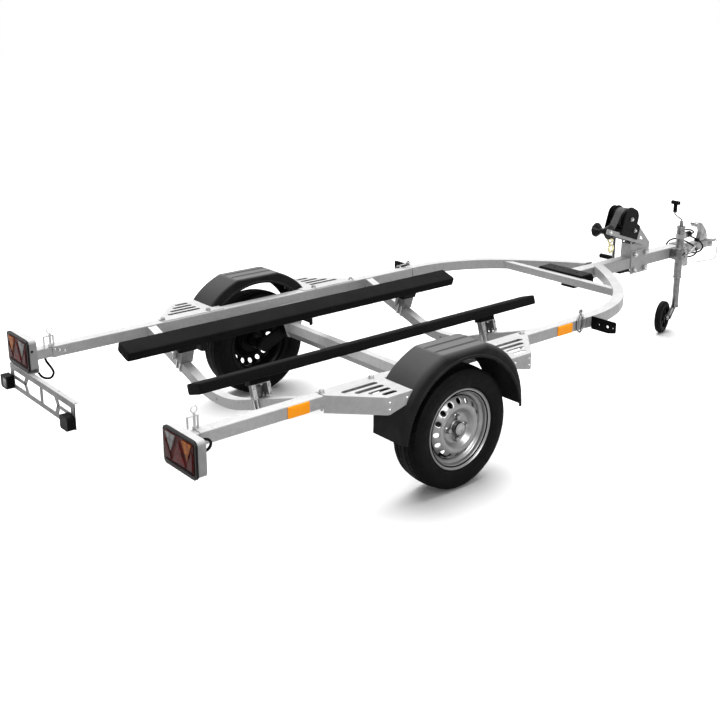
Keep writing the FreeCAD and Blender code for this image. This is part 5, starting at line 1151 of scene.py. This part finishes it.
def welds():
    """Weld beads: the cross members on their rails, the axle's plates, the post and its arm."""
    rail_face, seam_foot, seam_top = 0.5985, 0.486, 0.530
    beads = []
    seed = 3
    for side in SIDES:
        runs = []
        for end in SIDES:
            x = end * MEMBER_X
            y = side * rail_face
            runs += [(at(x - 0.0225, y, 0.531), at(x + 0.0225, y, 0.531)),
                     (at(x - 0.0235, y, seam_foot), at(x - 0.0235, y, seam_top)),
                     (at(x + 0.0235, y, seam_foot), at(x + 0.0235, y, seam_top))]
        runs += [(at(0.066, side * 0.5905, RAIL_BASE + 0.0085),
                  at(0.234, side * 0.5905, RAIL_BASE + 0.0085))]
        runs += [(np.array([POST_X + 0.004, side * 0.0335, 0.5275]),
                  np.array([POST_X + 0.004, side * 0.004, 0.5275])),
                 (np.array([POST_X + 0.030, side * 0.0362, 0.612]),
                  np.array([POST_X + 0.084, side * 0.0362, 0.612]))]
        for start, end in runs:
            beads.append(weld(start, end, 0.0026, seed))
            seed += 1
    return beads


def wound_webbing():
    """Strap wound on the drum: turned about the shaft, its width stepped by the turns' uneven
    edges."""
    centre = arm_place(*DRUM_SHAFT)
    across = np.linspace(-0.026, 0.026, 27)
    rise = 0.0612 + 0.0008 * np.cos(across * 700) * (np.abs(across) > 0.020)
    profile = np.concatenate([[[-0.026, 0.0595]], np.stack([across, rise], axis=1),
                              [[0.026, 0.0595]]])
    return [turned(profile, centre, LEFT, 72)]


def drum_side():
    """Bright washer and nut on the drum's shaft."""
    centre = arm_place(*DRUM_SHAFT, -0.062)
    return [turned([(0, 0.0125), (0.0016, 0.0125), (0.0016, 0.007)], centre, -LEFT, 28),
            turned([(0.0016, 0.0100), (0.0085, 0.0100), (0.0098, 0.008), (0.0098, 0.004)], centre,
                   -LEFT, 6)]


def crank_side():
    """Bright nut on the crank's shaft on the near side and on its arm."""
    near = arm_place(*CRANK_SHAFT, -0.062)
    far = arm_place(*CRANK_SHAFT, 0.084)
    return hexagon_head(near, -LEFT, 0.0155, 0.011) + hexagon_head(far, LEFT, 0.019, 0.010)


def crank_grip():
    """Grip: a turned sleeve with a flared collar and finger waves."""
    foot = arm_place(*CRANK_SHAFT, 0.085) - UP * 0.196
    along = np.linspace(0.004, 0.088, 40)
    swell = 0.0142 + 0.0009 * np.cos(along * 360)
    profile = np.concatenate([[[0, 0.006], [0, 0.017], [0.003, 0.017]],
                              np.stack([along, swell], axis=1), [[0.094, 0.011], [0.0955, 0.003]]])
    return [turned(profile, foot, LEFT, 28)]


def winch_rim():
    """Raised edge round both side plates of the winch: a bar along the plate's outline."""
    bars = []
    bend, bend_up = 0.0505, 0.106
    rearward = np.linspace(math.pi, math.pi / 2, 12)
    forward = np.linspace(math.pi / 2, 0, 12)
    rear, front = (np.stack([foot + bend * np.cos(turn), bend_up + bend * np.sin(turn)], axis=1)
                   for foot, turn in ((-0.020, rearward), (0.008, forward)))
    pairs = np.concatenate([[[-0.0705, -0.010], [-0.0705, 0.05]], rear, front, [[0.0585, 0.086]]])
    for side in SIDES:
        origin = arm_place(DRUM_SHAFT[0], 0.030, side * 0.0625)
        path = origin + pairs[:, :1] * ARM_AHEAD + pairs[:, 1:] * ARM_UP
        bars.append(swept(path, 0.0022, 8, LEFT))
    return bars


def roller_bolts():
    """Bolt head and nut on the roller's pin."""
    return sum((hexagon_head(arm_place(0.308, 0.015, side * 0.056), LEFT * side, 0.019, 0.011)
                for side in SIDES), [])


def reflector_faces():
    """Prismatic face of each side reflector inside its plain rim."""
    outline = rounded_corners([(-0.046, -0.019), (0.046, -0.019), (0.046, 0.019), (-0.046, 0.019)],
                              0.004)
    faces = []
    for side in SIDES:
        for x in (-0.740, 0.848):
            rows = []
            for y, share in ((0.6625, 1.0), (0.6638, 0.99), (0.6642, 0.96), (0.6642, 0.4)):
                rows.append(np.column_stack([WHEEL_X + x + outline[:, 0] * share,
                                             np.full(len(outline), side * y),
                                             (RAIL_TOP + RAIL_BASE) / 2 + outline[:, 1] * share]))
            faces.append(grid_shape(np.stack(rows)))
    return faces


def coupling_fasteners():
    """Pivot pins of the lever and a small spring pin at the catch."""
    low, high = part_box("coupling_lever")
    place = np.array([high.x - 0.016, 0, low.z + 0.016])
    bolts = []
    for side in SIDES:
        bolts.append(domed_head(place + LEFT * side * 0.015, LEFT * side, 0.0075, 0.0045))
        bolts.append(domed_head(place + (-0.02, side * 0.0150, 0.030), LEFT * side, 0.004, 0.0025))
    return bolts


def plate_lamp_windows():
    """Pale windows of the number plate's lamps: one faces the rear, one faces the plate."""
    low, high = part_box("plate_lamps")
    outline = rounded_corners([(-0.017, -0.020), (0.017, -0.020), (0.017, 0.020), (-0.017, 0.020)],
                              0.004)
    far_middle = (high.y - 0.046, (low.z + high.z) / 2)
    rows = [np.column_stack([np.full(len(outline), x), outline * share + far_middle])
            for x, share in ((low.x + 0.001, 1.0), (low.x - 0.0006, 0.97), (low.x - 0.0010, 0.85))]
    near_middle = ((low.x + high.x) / 2, (low.z + high.z) / 2)
    side = low.y + 0.074
    other = [np.column_stack([outline[:, 0] * share * 0.8 + near_middle[0],
                              np.full(len(outline), side + out),
                              outline[:, 1] * share + near_middle[1]])
             for out, share in ((-0.001, 1.0), (0.0006, 0.97), (0.0010, 0.85))]
    return [grid_shape(np.stack(rows)), grid_shape(np.stack(other))]


# Jockey wheel

SWIVEL = math.radians(16.0)
JOCKEY_AXIS = np.array([-math.sin(SWIVEL), math.cos(SWIVEL), 0])
JOCKEY_BACK = np.array([-math.cos(SWIVEL), -math.sin(SWIVEL), 0])
JOCKEY_FOOT = np.array([BAR_FRONT - 0.158, -0.086, 0.1])
JOCKEY_AXLE = JOCKEY_FOOT + JOCKEY_BACK * 0.090
JOCKEY_CENTRE = JOCKEY_AXLE + JOCKEY_AXIS * 0.046


def jockey_tyre():
    """Solid rubber ring with a flat ribbed tread, round shoulders and a raised ring on each wall:
    the tread's radius falls with the fifth power of the distance from its middle."""
    half = 0.020
    out = np.linspace(-1, 1, 41)
    ribs = 0.0014 * (np.abs(np.abs(out) - 0.34) < 0.05)
    tread = 0.0998 - 0.013 * np.abs(out) ** 5 - ribs
    wall = [(-half, 0.078), (-half - 0.0006, 0.076), (-half, 0.074), (-half * 0.9, 0.070)]
    mirror = [(-y, r) for y, r in wall[::-1]]
    section = np.concatenate([wall[::-1], np.stack([half * out, tread], axis=1), mirror[::-1]])
    inner = np.array([(half * 0.7, 0.069), (-half * 0.7, 0.069)])
    closed = np.concatenate([section, inner])
    return turned_ring(closed, JOCKEY_CENTRE, JOCKEY_AXIS, 96)


def jockey_centre():
    """Moulded wheel centre: a bead seat, a thin waved web that makes spokes and a hub with a
    bore. The web stands further off the middle wherever the cosine of six times the angle is
    high."""
    steps = 120
    angle = np.arange(steps) / steps * 2 * math.pi
    section = np.array([(-0.0165, 0.0695), (-0.0165, 0.064), (-0.004, 0.060), (-0.004, 0.026),
                        (-0.019, 0.020), (-0.019, 0.0085), (0.019, 0.0085), (0.019, 0.020),
                        (0.004, 0.026), (0.004, 0.060), (0.0165, 0.064), (0.0165, 0.0695)])
    stand_off = 1 + 1.5 * (np.cos(angle * 6) > 0.55)
    web = np.abs(np.abs(section[:, 0]) - 0.004) < 0.001
    along = section[None, :, 0] * np.where(web[None, :], stand_off[:, None], 1)
    axis, first, second = square_axes(JOCKEY_AXIS)
    way = np.cos(angle)[:, None] * first + np.sin(angle)[:, None] * second
    points = JOCKEY_CENTRE + along[:, :, None] * axis + section[None, :, 1:] * way[:, None, :]
    return grid_shape(points, rows_close=True)


def arm_flange():
    """Folded edges of the swivelling arm: two thin strips that stand off its blade on the near
    side, along its upper and lower edges, each a four-sided section carried along a line and cut
    back at both ends."""
    blade = 0.0135
    strips = []
    for ends in (((0.006, 0.0605), (-0.0905, 0.0105)), ((0.016, 0.0475), (-0.0800, -0.0125))):
        (x0, z0), (x1, z1) = ends
        rows = []
        along = np.array([x1 - x0, z1 - z0])
        square = np.array([along[1], -along[0]]) / np.linalg.norm(along) * 0.0018
        for share in (0, 0.04, 0.96, 1):
            x = x0 + share * along[0]
            z = z0 + share * along[1]
            reach = 0.0115 if share in (0, 1) else 0.0165
            corners = [(x + sign * square[0], y, z + sign * square[1])
                       for sign, y in ((1, blade), (-1, blade), (-1, blade - reach),
                                       (1, blade - reach))]
            rows.append([JOCKEY_FOOT - JOCKEY_BACK * px + JOCKEY_AXIS * py + UP * pz
                         for px, py, pz in corners])
        strips.append(grid_shape(np.array(rows)))
    return strips


def jockey_bolts():
    """Bolt head beside the arm and nut beyond the wheel."""
    near = JOCKEY_AXLE + JOCKEY_AXIS * 0.013
    far = JOCKEY_AXLE + JOCKEY_AXIS * 0.0665
    return (hexagon_head(near, -JOCKEY_AXIS, 0.019, 0.008)
            + hexagon_head(far, JOCKEY_AXIS, 0.019, 0.010))


def sleeve_rings():
    """Bright rings round the jockey's outer tube: at its top, above the clamp and at its foot."""
    rings = []
    for z in (0.6655, 0.529, 0.345):
        turn = np.linspace(0, 2 * math.pi, 10, endpoint=False)
        section = np.stack([0.004 * np.cos(turn), 0.0242 + 0.0028 * np.sin(turn)], axis=1)
        rings.append(turned_ring(section, (JOCKEY_FOOT[0], JOCKEY_FOOT[1], z), UP, 40))
    return rings


rubber = piece("jockey_rubber", [jockey_tyre()], ROLLER_RUBBER, "jockey_roll")
piece("jockey_wheel_centre", [jockey_centre()], BLACK_PLASTIC, "jockey_roll")
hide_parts("jockey_wheel")
piece("arm_flanges", arm_flange(), DULL_ZINC, "jockey_caster")
piece("jockey_bolts", jockey_bolts(), FASTENER, "jockey_caster")
piece("sleeve_rings", sleeve_rings(), ZINC, "frame")
piece("wing_fasteners", wing_fasteners(), FASTENER, "frame")
piece("bracket_fasteners", bracket_fasteners(), FASTENER, "frame")
piece("bow_bolts", bow_bolts(), FASTENER, "frame")
piece("front_fasteners", front_fasteners(), FASTENER, "frame")
piece("rail_end_fasteners", rail_end_fasteners(), FASTENER, "frame")
piece("weld_beads", welds(), GALVANISED, "frame", 60)
piece("wound_strap", wound_webbing(), STRAP, "drum", 60)
piece("drum_nut", drum_side(), FASTENER, "drum")
piece("crank_nuts", crank_side(), FASTENER, "crank")
piece("crank_grip", crank_grip(), BLACK_PLASTIC, "crank")
piece("winch_rims", winch_rim(), BLACK_COAT, "frame")
piece("roller_bolts", roller_bolts(), FASTENER, "frame")
piece("reflector_faces", reflector_faces(), AMBER, "frame")
piece("coupling_pins", coupling_fasteners(), FASTENER, "frame")
piece("plate_lamp_windows", plate_lamp_windows(), CLEAR_LENS, "lamp_arm_left")


# Mudguards

GUARD_MID = 0.762
GUARD_HALF = 0.100
ARCH_RADIUS = 0.333


def guard_line():
    """The mudguard's side view from its rear foot over the top to its front foot: upright feet, a
    quadratic curve up each slope and a flat top, taken at even steps and smoothed a little by a
    moving average. Measured from the wheel's axis."""
    share = np.linspace(0, 1, 60)[:, None]
    slope = ((1 - share) ** 2 * (0.356, 0.112) + 2 * share * (1 - share) * (0.326, 0.301)
             + share ** 2 * (0.124, 0.373))
    half = np.concatenate([[(0.356, 0.041)], slope, [(0.0, 0.373)]])
    knots = np.concatenate([half * (-1, 1), half[-2::-1]])
    reach = np.append(0, np.cumsum(np.linalg.norm(np.diff(knots, axis=0), axis=1)))
    even = np.linspace(0, reach[-1], 221)
    line = np.stack([np.interp(even, reach, knots[:, 0]), np.interp(even, reach, knots[:, 1])],
                    axis=1)
    margin = 2
    padded = np.concatenate([2 * line[0] - line[margin:0:-1], line,
                             2 * line[-1] - line[-2:-2 - margin:-1]])
    kernel = np.hanning(2 * margin + 3)[1:-1]
    kernel /= kernel.sum()
    return np.stack([np.convolve(padded[:, 0], kernel, "valid"),
                     np.convolve(padded[:, 1], kernel, "valid")], axis=1)


def guard_shell(side):
    """Moulded mudguard: at each step of its side view stands a closed section. From the line
    towards the wheel's axis the section goes down both walls to the round arch, where a rolled edge
    swells out, over a small inner and a large outer shoulder, and across the top with two raised
    ribs; the same line a sheet's thickness within is its inside."""
    line = guard_line()
    far = np.linalg.norm(line, axis=1)
    inward = -line / far[:, None]
    depth = (far - ARCH_RADIUS)[:, None]
    steps = len(line)
    window = np.clip((0.124 - np.abs(line[:, 0])) / 0.006, 0, 1)[:, None]

    def section(half, start, outer_round, inner_round, roll, ribs):
        """How far across and how far towards the axis each point of every section lies."""
        outer = np.minimum(outer_round, 0.72 * depth)
        inner = np.minimum(inner_round, 0.4 * depth)
        bend = np.linspace(0, math.pi / 2, 9)[None, :]
        edge = np.array([0.0, 0.0015, 0.004, 0.008, 0.011, 0.0135])[None, :]
        swell = roll * np.array([0.2, 0.75, 1.0, 1.0, 0.6, 0.0])[None, :]
        wall = np.linspace(1, 0, 5)[None, 1:-1]
        ones = np.ones((steps, 1))
        skin = half - roll

        def side_part(sign, turn):
            """One side of the sections: rolled foot, wall and shoulder."""
            foot_across = sign * (skin + swell) * ones
            foot_down = depth - edge
            low = foot_down[:, -1:]
            high = turn + start
            wall_across = sign * skin * np.ones((steps, wall.shape[1]))
            wall_down = high + (low - high) * wall
            bend_across = sign * (skin - turn * (1 - np.cos(bend)))
            bend_down = start + turn * (1 - np.sin(bend))
            return (np.concatenate([foot_across, wall_across, bend_across], axis=1),
                    np.concatenate([foot_down, wall_down, bend_down], axis=1))

        inner_across, inner_down = side_part(-1, inner)
        outer_across, outer_down = side_part(1, outer)
        share = np.linspace(0, 1, 46)[None, 1:-1]
        top_across = inner_across[:, -1:] + (outer_across[:, -1:] - inner_across[:, -1:]) * share
        rise = sum(np.exp(-((top_across - middle) / 0.0048) ** 2) for middle in (-0.034, 0.030))
        top_down = start - ribs * rise * window
        return (np.concatenate([inner_across, top_across, outer_across[:, ::-1]], axis=1),
                np.concatenate([inner_down, top_down, outer_down[:, ::-1]], axis=1))

    out_across, out_down = section(GUARD_HALF, 0.0, 0.030, 0.012, 0.0034, 0.0042)
    in_across, in_down = section(GUARD_HALF - 0.0068, 0.0034, 0.027, 0.009, 0.0, 0.0)
    across = np.concatenate([out_across, in_across[:, ::-1]], axis=1)
    down = np.concatenate([out_down, in_down[:, ::-1]], axis=1)
    flat = line[:, None, :] + down[:, :, None] * inward[:, None, :]
    points = np.stack([WHEEL_X + WING_SHIFT + flat[:, :, 0], side * (GUARD_MID + across),
                       WHEEL_Z + flat[:, :, 1]], axis=-1)
    return grid_shape(points)


def slab(rows):
    """A flat sheet as rows of (left end, right end, y) in plan between the rails' top and a sheet's
    thickness over it: each row is a four-cornered loop, and the loops are joined along y."""
    low, high = RAIL_TOP, RAIL_TOP + WING_SHEET
    loops = [[(left, y, high), (right, y, high), (right, y, low), (left, y, low)]
             for left, right, y in rows]
    return np.array(loops)


def wing_sheets(side, end):
    """Folded mudguard bracket: the slotted top in two sheets that meet in the middle of the slots'
    lengths, whose edges follow the slots' round ends, and the folded face carried round the
    bracket's corner, its section a quarter bend and a straight drop."""
    slot = 0.0115
    foot, corner, hidden = 0.600, 0.420, 0.288
    meeting, slot_end = 0.385, 0.345
    y_in, y_fold, y_out = 0.605, 0.656, WING_OUT
    lean = (foot - corner) / (y_out - y_fold)

    def border(y):
        """The sheet's end at a distance from the trailer's middle."""
        return foot if y <= y_fold else foot - 0.0056 - (y - y_fold) * lean

    def inner_edge(y):
        """Its other end, which reaches further in over the rail."""
        return 0.250 if y < 0.6605 else hidden

    near_rows = []
    far_rows = []
    for y in (y_in, y_fold, y_fold + 0.0001, 0.6604, 0.6606):
        near_rows.append((border(y), meeting, y))
        far_rows.append((meeting, inner_edge(y), y))
    for i in range(4):
        middle = 0.682 + 0.040 * i
        last = 0.529 - 0.037 * i
        for turn in np.concatenate([[-9], np.linspace(-1, 1, 15), [9]]):
            solid = abs(turn) > 1
            offset = slot * np.sign(turn) if solid else slot * math.sin(turn * math.pi / 2)
            y = middle + offset + (0.00002 * np.sign(turn) if solid else 0)
            round_off = slot - math.sqrt(max(slot ** 2 - offset ** 2, 0))
            near_rows.append((border(y), meeting if solid else last - round_off, y))
            far_rows.append((meeting if solid else slot_end + round_off, hidden, y))
    near_rows.append((border(y_out - 0.004), meeting, y_out - 0.004))
    far_rows.append((meeting, hidden, y_out - 0.004))
    plan = rounded_path([(foot, y_fold, 0), (corner, y_out, 0), (hidden, y_out, 0)], 0.012,
                        8)[:, :2]
    step = np.gradient(plan, axis=0)
    step /= np.linalg.norm(step, axis=1)[:, None]
    outward = np.stack([step[:, 1], -step[:, 0]], axis=1)
    top = RAIL_TOP + WING_SHEET
    bend = np.linspace(0, math.pi / 2, 6)
    drop = 0.076 - 0.030 * np.clip((0.336 - plan[:, 0]) / 0.03, 0, 1)
    out = np.concatenate([-0.004 + 0.004 * np.sin(bend), [0, -0.003, -0.003, -0.004]])
    down = np.concatenate([0.004 - 0.004 * np.cos(bend), [0, 0, 0.0045, 0.003]])
    heights = np.repeat((top - down)[None, :], len(plan), axis=0)
    heights[:, 6] = heights[:, 7] = top - drop
    spots = plan[:, None, :] + out[None, :, None] * outward[:, None, :]
    fold = np.concatenate([spots, heights[:, :, None]], axis=2)
    shapes = []
    for points in (slab(near_rows), slab(far_rows), fold):
        placed = points * (end, side, 1) + (WHEEL_X + WING_SHIFT, 0, 0)
        shapes.append(grid_shape(placed))
    return shapes


def hanging_plate(side):
    """Gusset that hangs the axle from the rail: a rounded six-cornered outline carried through the
    plate's thickness, drawn in by a millimetre at both faces."""
    outline = rounded_corners([(0.062, RAIL_BASE + 0.008), (0.062, 0.469), (0.116, 0.3056),
                               (0.184, 0.3056), (0.238, 0.469), (0.238, RAIL_BASE + 0.008)], 0.008)
    middle = outline.mean(axis=0)
    rows = []
    for y, share in ((0.592, 0.985), (0.593, 1.0), (0.599, 1.0), (0.600, 0.985)):
        pairs = middle + (outline - middle) * share
        rows.append(np.column_stack([WHEEL_X + pairs[:, 0], np.full(len(pairs), side * y),
                                     pairs[:, 1]]))
    return grid_shape(np.stack(rows))


def flat_bar(start, end, width, low, high):
    """Flat bar in a plane square to the trailer's length, from one (y, z) to the other: its corners
    stand off the line between them by half the width, and it reaches from low to high along x."""
    start, end = np.array(start), np.array(end)
    way = (end - start) / np.linalg.norm(end - start)
    aside = np.array([-way[1], way[0]]) * width / 2
    corners = np.array([start - aside, end - aside, end + aside, start + aside])
    return grid_shape(np.stack([np.column_stack([np.full(4, x), corners]) for x in (low, high)]))


def holder_bars():
    """The number plate holder's broad pressed bars: bands along its top, foot and ends, a post in
    its middle, and at each end a pointed strut that a short tie holds from the end band."""
    low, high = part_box("plate_holder")
    rear = low.x - 0.0004
    front = low.x + 0.0044
    thin = (rear + 0.0003, front - 0.0003)
    width = high.y - low.y
    middle = (high.y + low.y) / 2
    foot, top = low.z, low.z + 0.1165
    centre = (foot + top) / 2
    bars = [flat_bar((low.y, top - 0.0125), (high.y, top - 0.0125), 0.025, rear, front),
            flat_bar((low.y, foot + 0.0105), (high.y, foot + 0.0105), 0.021, rear, front),
            flat_bar((middle, foot + 0.01), (middle, top - 0.01), 0.023, *thin)]
    for side in SIDES:
        edge = middle + side * width / 2
        bars.append(flat_bar((edge - side * 0.018, foot + 0.01), (edge - side * 0.018, top - 0.01),
                             0.036, *thin))
        nose = (edge - side * 0.238 * width, centre)
        for z in (foot + 0.012, top - 0.014):
            bars.append(flat_bar(nose, (edge - side * 0.283 * width, z), 0.024, *thin))
        bars.append(flat_bar((edge - side * 0.02, centre), nose, 0.015, *thin))
    return bars


def painted_light_lips():
    """Painted light on the bunk brackets' folded lips: each lip gets a thin skin of pale zinc round
    it, a lit copy of the bracket's darker finish.
    """
    inner, outer = 0.0215, 0.0264
    lips = []
    for side in SIDES:
        for end in SIDES:
            for edge in ((0.0288, 0.0444), (-0.0464, -0.0288)):
                corners = ((edge[0], inner), (edge[1], inner), (edge[1], outer), (edge[0], outer))
                loops = [[on_member(end * MEMBER_X + x, BUNK_Y + y, z, side) for x, y in corners]
                         for z in (0.0008, BRACKET_HIGH)]
                lips.append(grid_shape(np.array(loops)))
    return lips


def rail_joint(side):
    """The dark seam where a side rail meets the front loop: the rail's rounded outline, a hair's
    breadth proud of it and two millimetres long."""
    half_y = (RAIL_OUT - RAIL_IN) / 2 + 0.0003
    half_z = (RAIL_TOP - RAIL_BASE) / 2 + 0.0003
    outline = rounded_corners([(-half_y, -half_z), (half_y, -half_z), (half_y, half_z),
                               (-half_y, half_z)], 0.0052)
    middle = np.array([side * (RAIL_OUT + RAIL_IN) / 2, (RAIL_TOP + RAIL_BASE) / 2])
    return grid_shape(np.stack([np.column_stack([np.full(len(outline), RAIL_HIGH.x + x),
                                                 outline + middle]) for x in (-0.001, 0.001)]))


def lashing_hoop(side):
    """Bent bar for lashing: down the rail's outer face and up again, its ends meeting in a ring
    over the rail."""
    radius = 0.0052
    y = side * (0.656 + radius)
    over = RAIL_TOP + radius
    low = RAIL_BASE - 0.011
    eye = at(0.998, side * RAIL_MIDDLE, over + 0.020)
    corners = [eye, at(0.935, y, over), at(0.935, y, low + 0.021), at(0.956, y, low),
               at(0.977, y, low + 0.021), at(0.977, y, over), eye]
    turn = np.linspace(0, 2 * math.pi, 24, endpoint=False)
    ring = eye + 0.010 * (np.cos(turn)[:, None] * AHEAD + np.sin(turn)[:, None] * UP)
    return [swept(rounded_path(corners, 0.012), radius, 12, (0, 1, 0.2)),
            swept(ring, 0.0042, 10, LEFT, closed=True)]


def strap_hook():
    """Snap hook: a three-cornered eye for the strap, a swivel barrel and a closed hook that narrows
    towards its foot, its bar thicker at the back."""
    low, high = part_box("snap_hook")
    x = low.x + 0.0055
    top = high.z - 0.0055
    swivel = 0.034
    eye = [(x, 0.023, top), (x, -0.023, top), (x, -0.004, top - 0.022), (x, 0.004, top - 0.022)]
    eye = rounded_path([(x, 0, top)] + eye[1:] + eye[:1] + [(x, 0, top)], 0.006)
    barrel = turned([(0, 0.004), (0, 0.0085), (0.003, 0.0095), (0.009, 0.0095), (0.012, 0.0085),
                     (0.012, 0.005)], (x, 0, top - swivel), UP, 20)
    steps = 56
    turn = np.linspace(0, 2 * math.pi, steps, endpoint=False)
    middle = (top - swivel + low.z) / 2
    tall = (top - swivel - low.z) / 2
    wide = 0.0205 * (1 + 0.2 * np.sin(turn))
    path = np.stack([x + 0.013 + wide * np.cos(turn), np.zeros(steps),
                     middle + (tall - 0.005) * np.sin(turn)], axis=1)
    thick = 0.0062 + 0.0016 * (np.cos(turn) < 0)
    return [swept(eye, 0.0052, 10, AHEAD), barrel, swept(path, thick, 12, LEFT, closed=True)]


def clamp_lever():
    """Tommy bar of the jockey clamp: a bright bar bent once, with a ball at its end."""
    root = np.array([JOCKEY_FOOT[0], JOCKEY_FOOT[1], 0.0])
    corners = [root + (0.020, -0.030, 0.494), root + (0.046, -0.040, 0.494),
               root + (0.094, -0.046, 0.532)]
    path = rounded_path(corners, 0.014)
    ball = turned([(-0.008, 0.001), (-0.0065, 0.005), (0, 0.0082), (0.0065, 0.005), (0.008, 0.001)],
                  corners[-1], corners[-1] - corners[-2], 18)
    return [swept(path, 0.0052, 12, LEFT), ball]


for name, side in BOTH_SIDES:
    guard = piece("moulded_guard_" + name, [guard_shell(side)], GUARD_PLASTIC, "frame",
                  38)
    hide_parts("mudguard_" + name)
wings = piece("folded_brackets",
              sum((wing_sheets(side, end) for side in SIDES for end in SIDES), []),
              GALVANISED_FOLDED, "frame", 30)
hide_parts("mudguard_brackets")
plates = piece("hanging_plates", [hanging_plate(side) for side in SIDES], GALVANISED, "frame")
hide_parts("axle_mounts")
# The holder's bars in darkened zinc: painted shade on the holder's rear face.
piece("holder_bars", holder_bars(), GALVANISED_PAINTED_SHADE, "lamp_arm_left")
piece("painted_light_lips", painted_light_lips(), GALVANISED_BRIGHT_AND_PAINTED_LIGHT, "frame")
piece("rail_joints", [rail_joint(side) for side in SIDES], BLACK_COAT, "frame")
hoops = piece("lashing_hoops", lashing_hoop(1) + lashing_hoop(-1), DULL_ZINC, "frame")
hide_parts("tie_hoops")
hook = piece("strap_hook", strap_hook(), YELLOW_ZINC, "frame")
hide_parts("snap_hook")
piece("clamp_lever", clamp_lever(), FASTENER, "frame")


# Stage

def seen(nodes, links, rays):
    """One where a ray comes from the camera or by way of a reflection or glass."""
    total = rays.outputs["Is Camera Ray"]
    for kind in ("Is Glossy Ray", "Is Transmission Ray"):
        total = calculated(nodes, links, "MAXIMUM", total, rays.outputs[kind])
    return total


def pale_floor():
    """A wide plain floor: white where it is seen, directly or in metal and glass, and greyer where
    it throws light back."""
    material, nodes, links, shader = new_material("pale_floor")
    shader.inputs["Roughness"].default_value = 0.9
    shader.inputs["Specular IOR Level"].default_value = 0.1
    rays = nodes.new("ShaderNodeLightPath")
    colour = mixed(nodes, links, seen(nodes, links, rays), (*grey(0.22), 1.0), (*grey(0.95), 1.0),
                   "RGBA")
    links.new(colour, shader.inputs["Base Color"])
    mesh = bpy.data.meshes.new("pale_floor")
    reach = 30.0
    corners = [(-reach, -reach, 0), (reach, -reach, 0), (reach, reach, 0), (-reach, reach, 0)]
    mesh.from_pydata(corners, [], [(0, 1, 2, 3)])
    mesh.materials.append(material)
    floor = bpy.data.objects.new("pale_floor", mesh)
    bpy.context.scene.collection.objects.link(floor)


def overhead_light():
    """A wide soft sun from above, a little ahead of the trailer and to its left."""
    data = bpy.data.lights.new("overhead", "SUN")
    data.energy = 5.0
    data.angle = 1.1
    light = bpy.data.objects.new("overhead", data)
    light.rotation_euler = (math.radians(-18), math.radians(12), 0)
    bpy.context.scene.collection.objects.link(light)


def side_light():
    """A soft lamp out to the trailer's right, seen in gloss alone, that draws the highlights of the
    wheel's dish and rim."""
    data = bpy.data.lights.new("side", "AREA")
    data.shape = "DISK"
    data.size = 1.6
    data.energy = 150.0
    light = bpy.data.objects.new("side", data)
    light.location = tuple(at(-0.45, -3.15, 2.25))
    light.rotation_euler = (math.radians(51), 0, math.radians(-11))
    light.visible_diffuse = False
    bpy.context.scene.collection.objects.link(light)


pale_floor()
overhead_light()
side_light()
world = bpy.data.worlds.new("world")
bpy.context.scene.world = world
world.use_nodes = True
sky = world.node_tree
sky.nodes["Background"].inputs["Color"].default_value = (1, 1, 1, 1)
sky.nodes["Background"].inputs["Strength"].default_value = 0.5
white = sky.nodes.new("ShaderNodeBackground")
white.inputs["Color"].default_value = (1, 1, 1, 1)
sky_rays = sky.nodes.new("ShaderNodeLightPath")
choice = sky.nodes.new("ShaderNodeMixShader")
sky.links.new(seen(sky.nodes, sky.links, sky_rays), choice.inputs["Fac"])
sky.links.new(sky.nodes["Background"].outputs["Background"], choice.inputs[1])
sky.links.new(white.outputs["Background"], choice.inputs[2])
sky.links.new(choice.outputs["Shader"], sky.nodes["World Output"].inputs["Surface"])
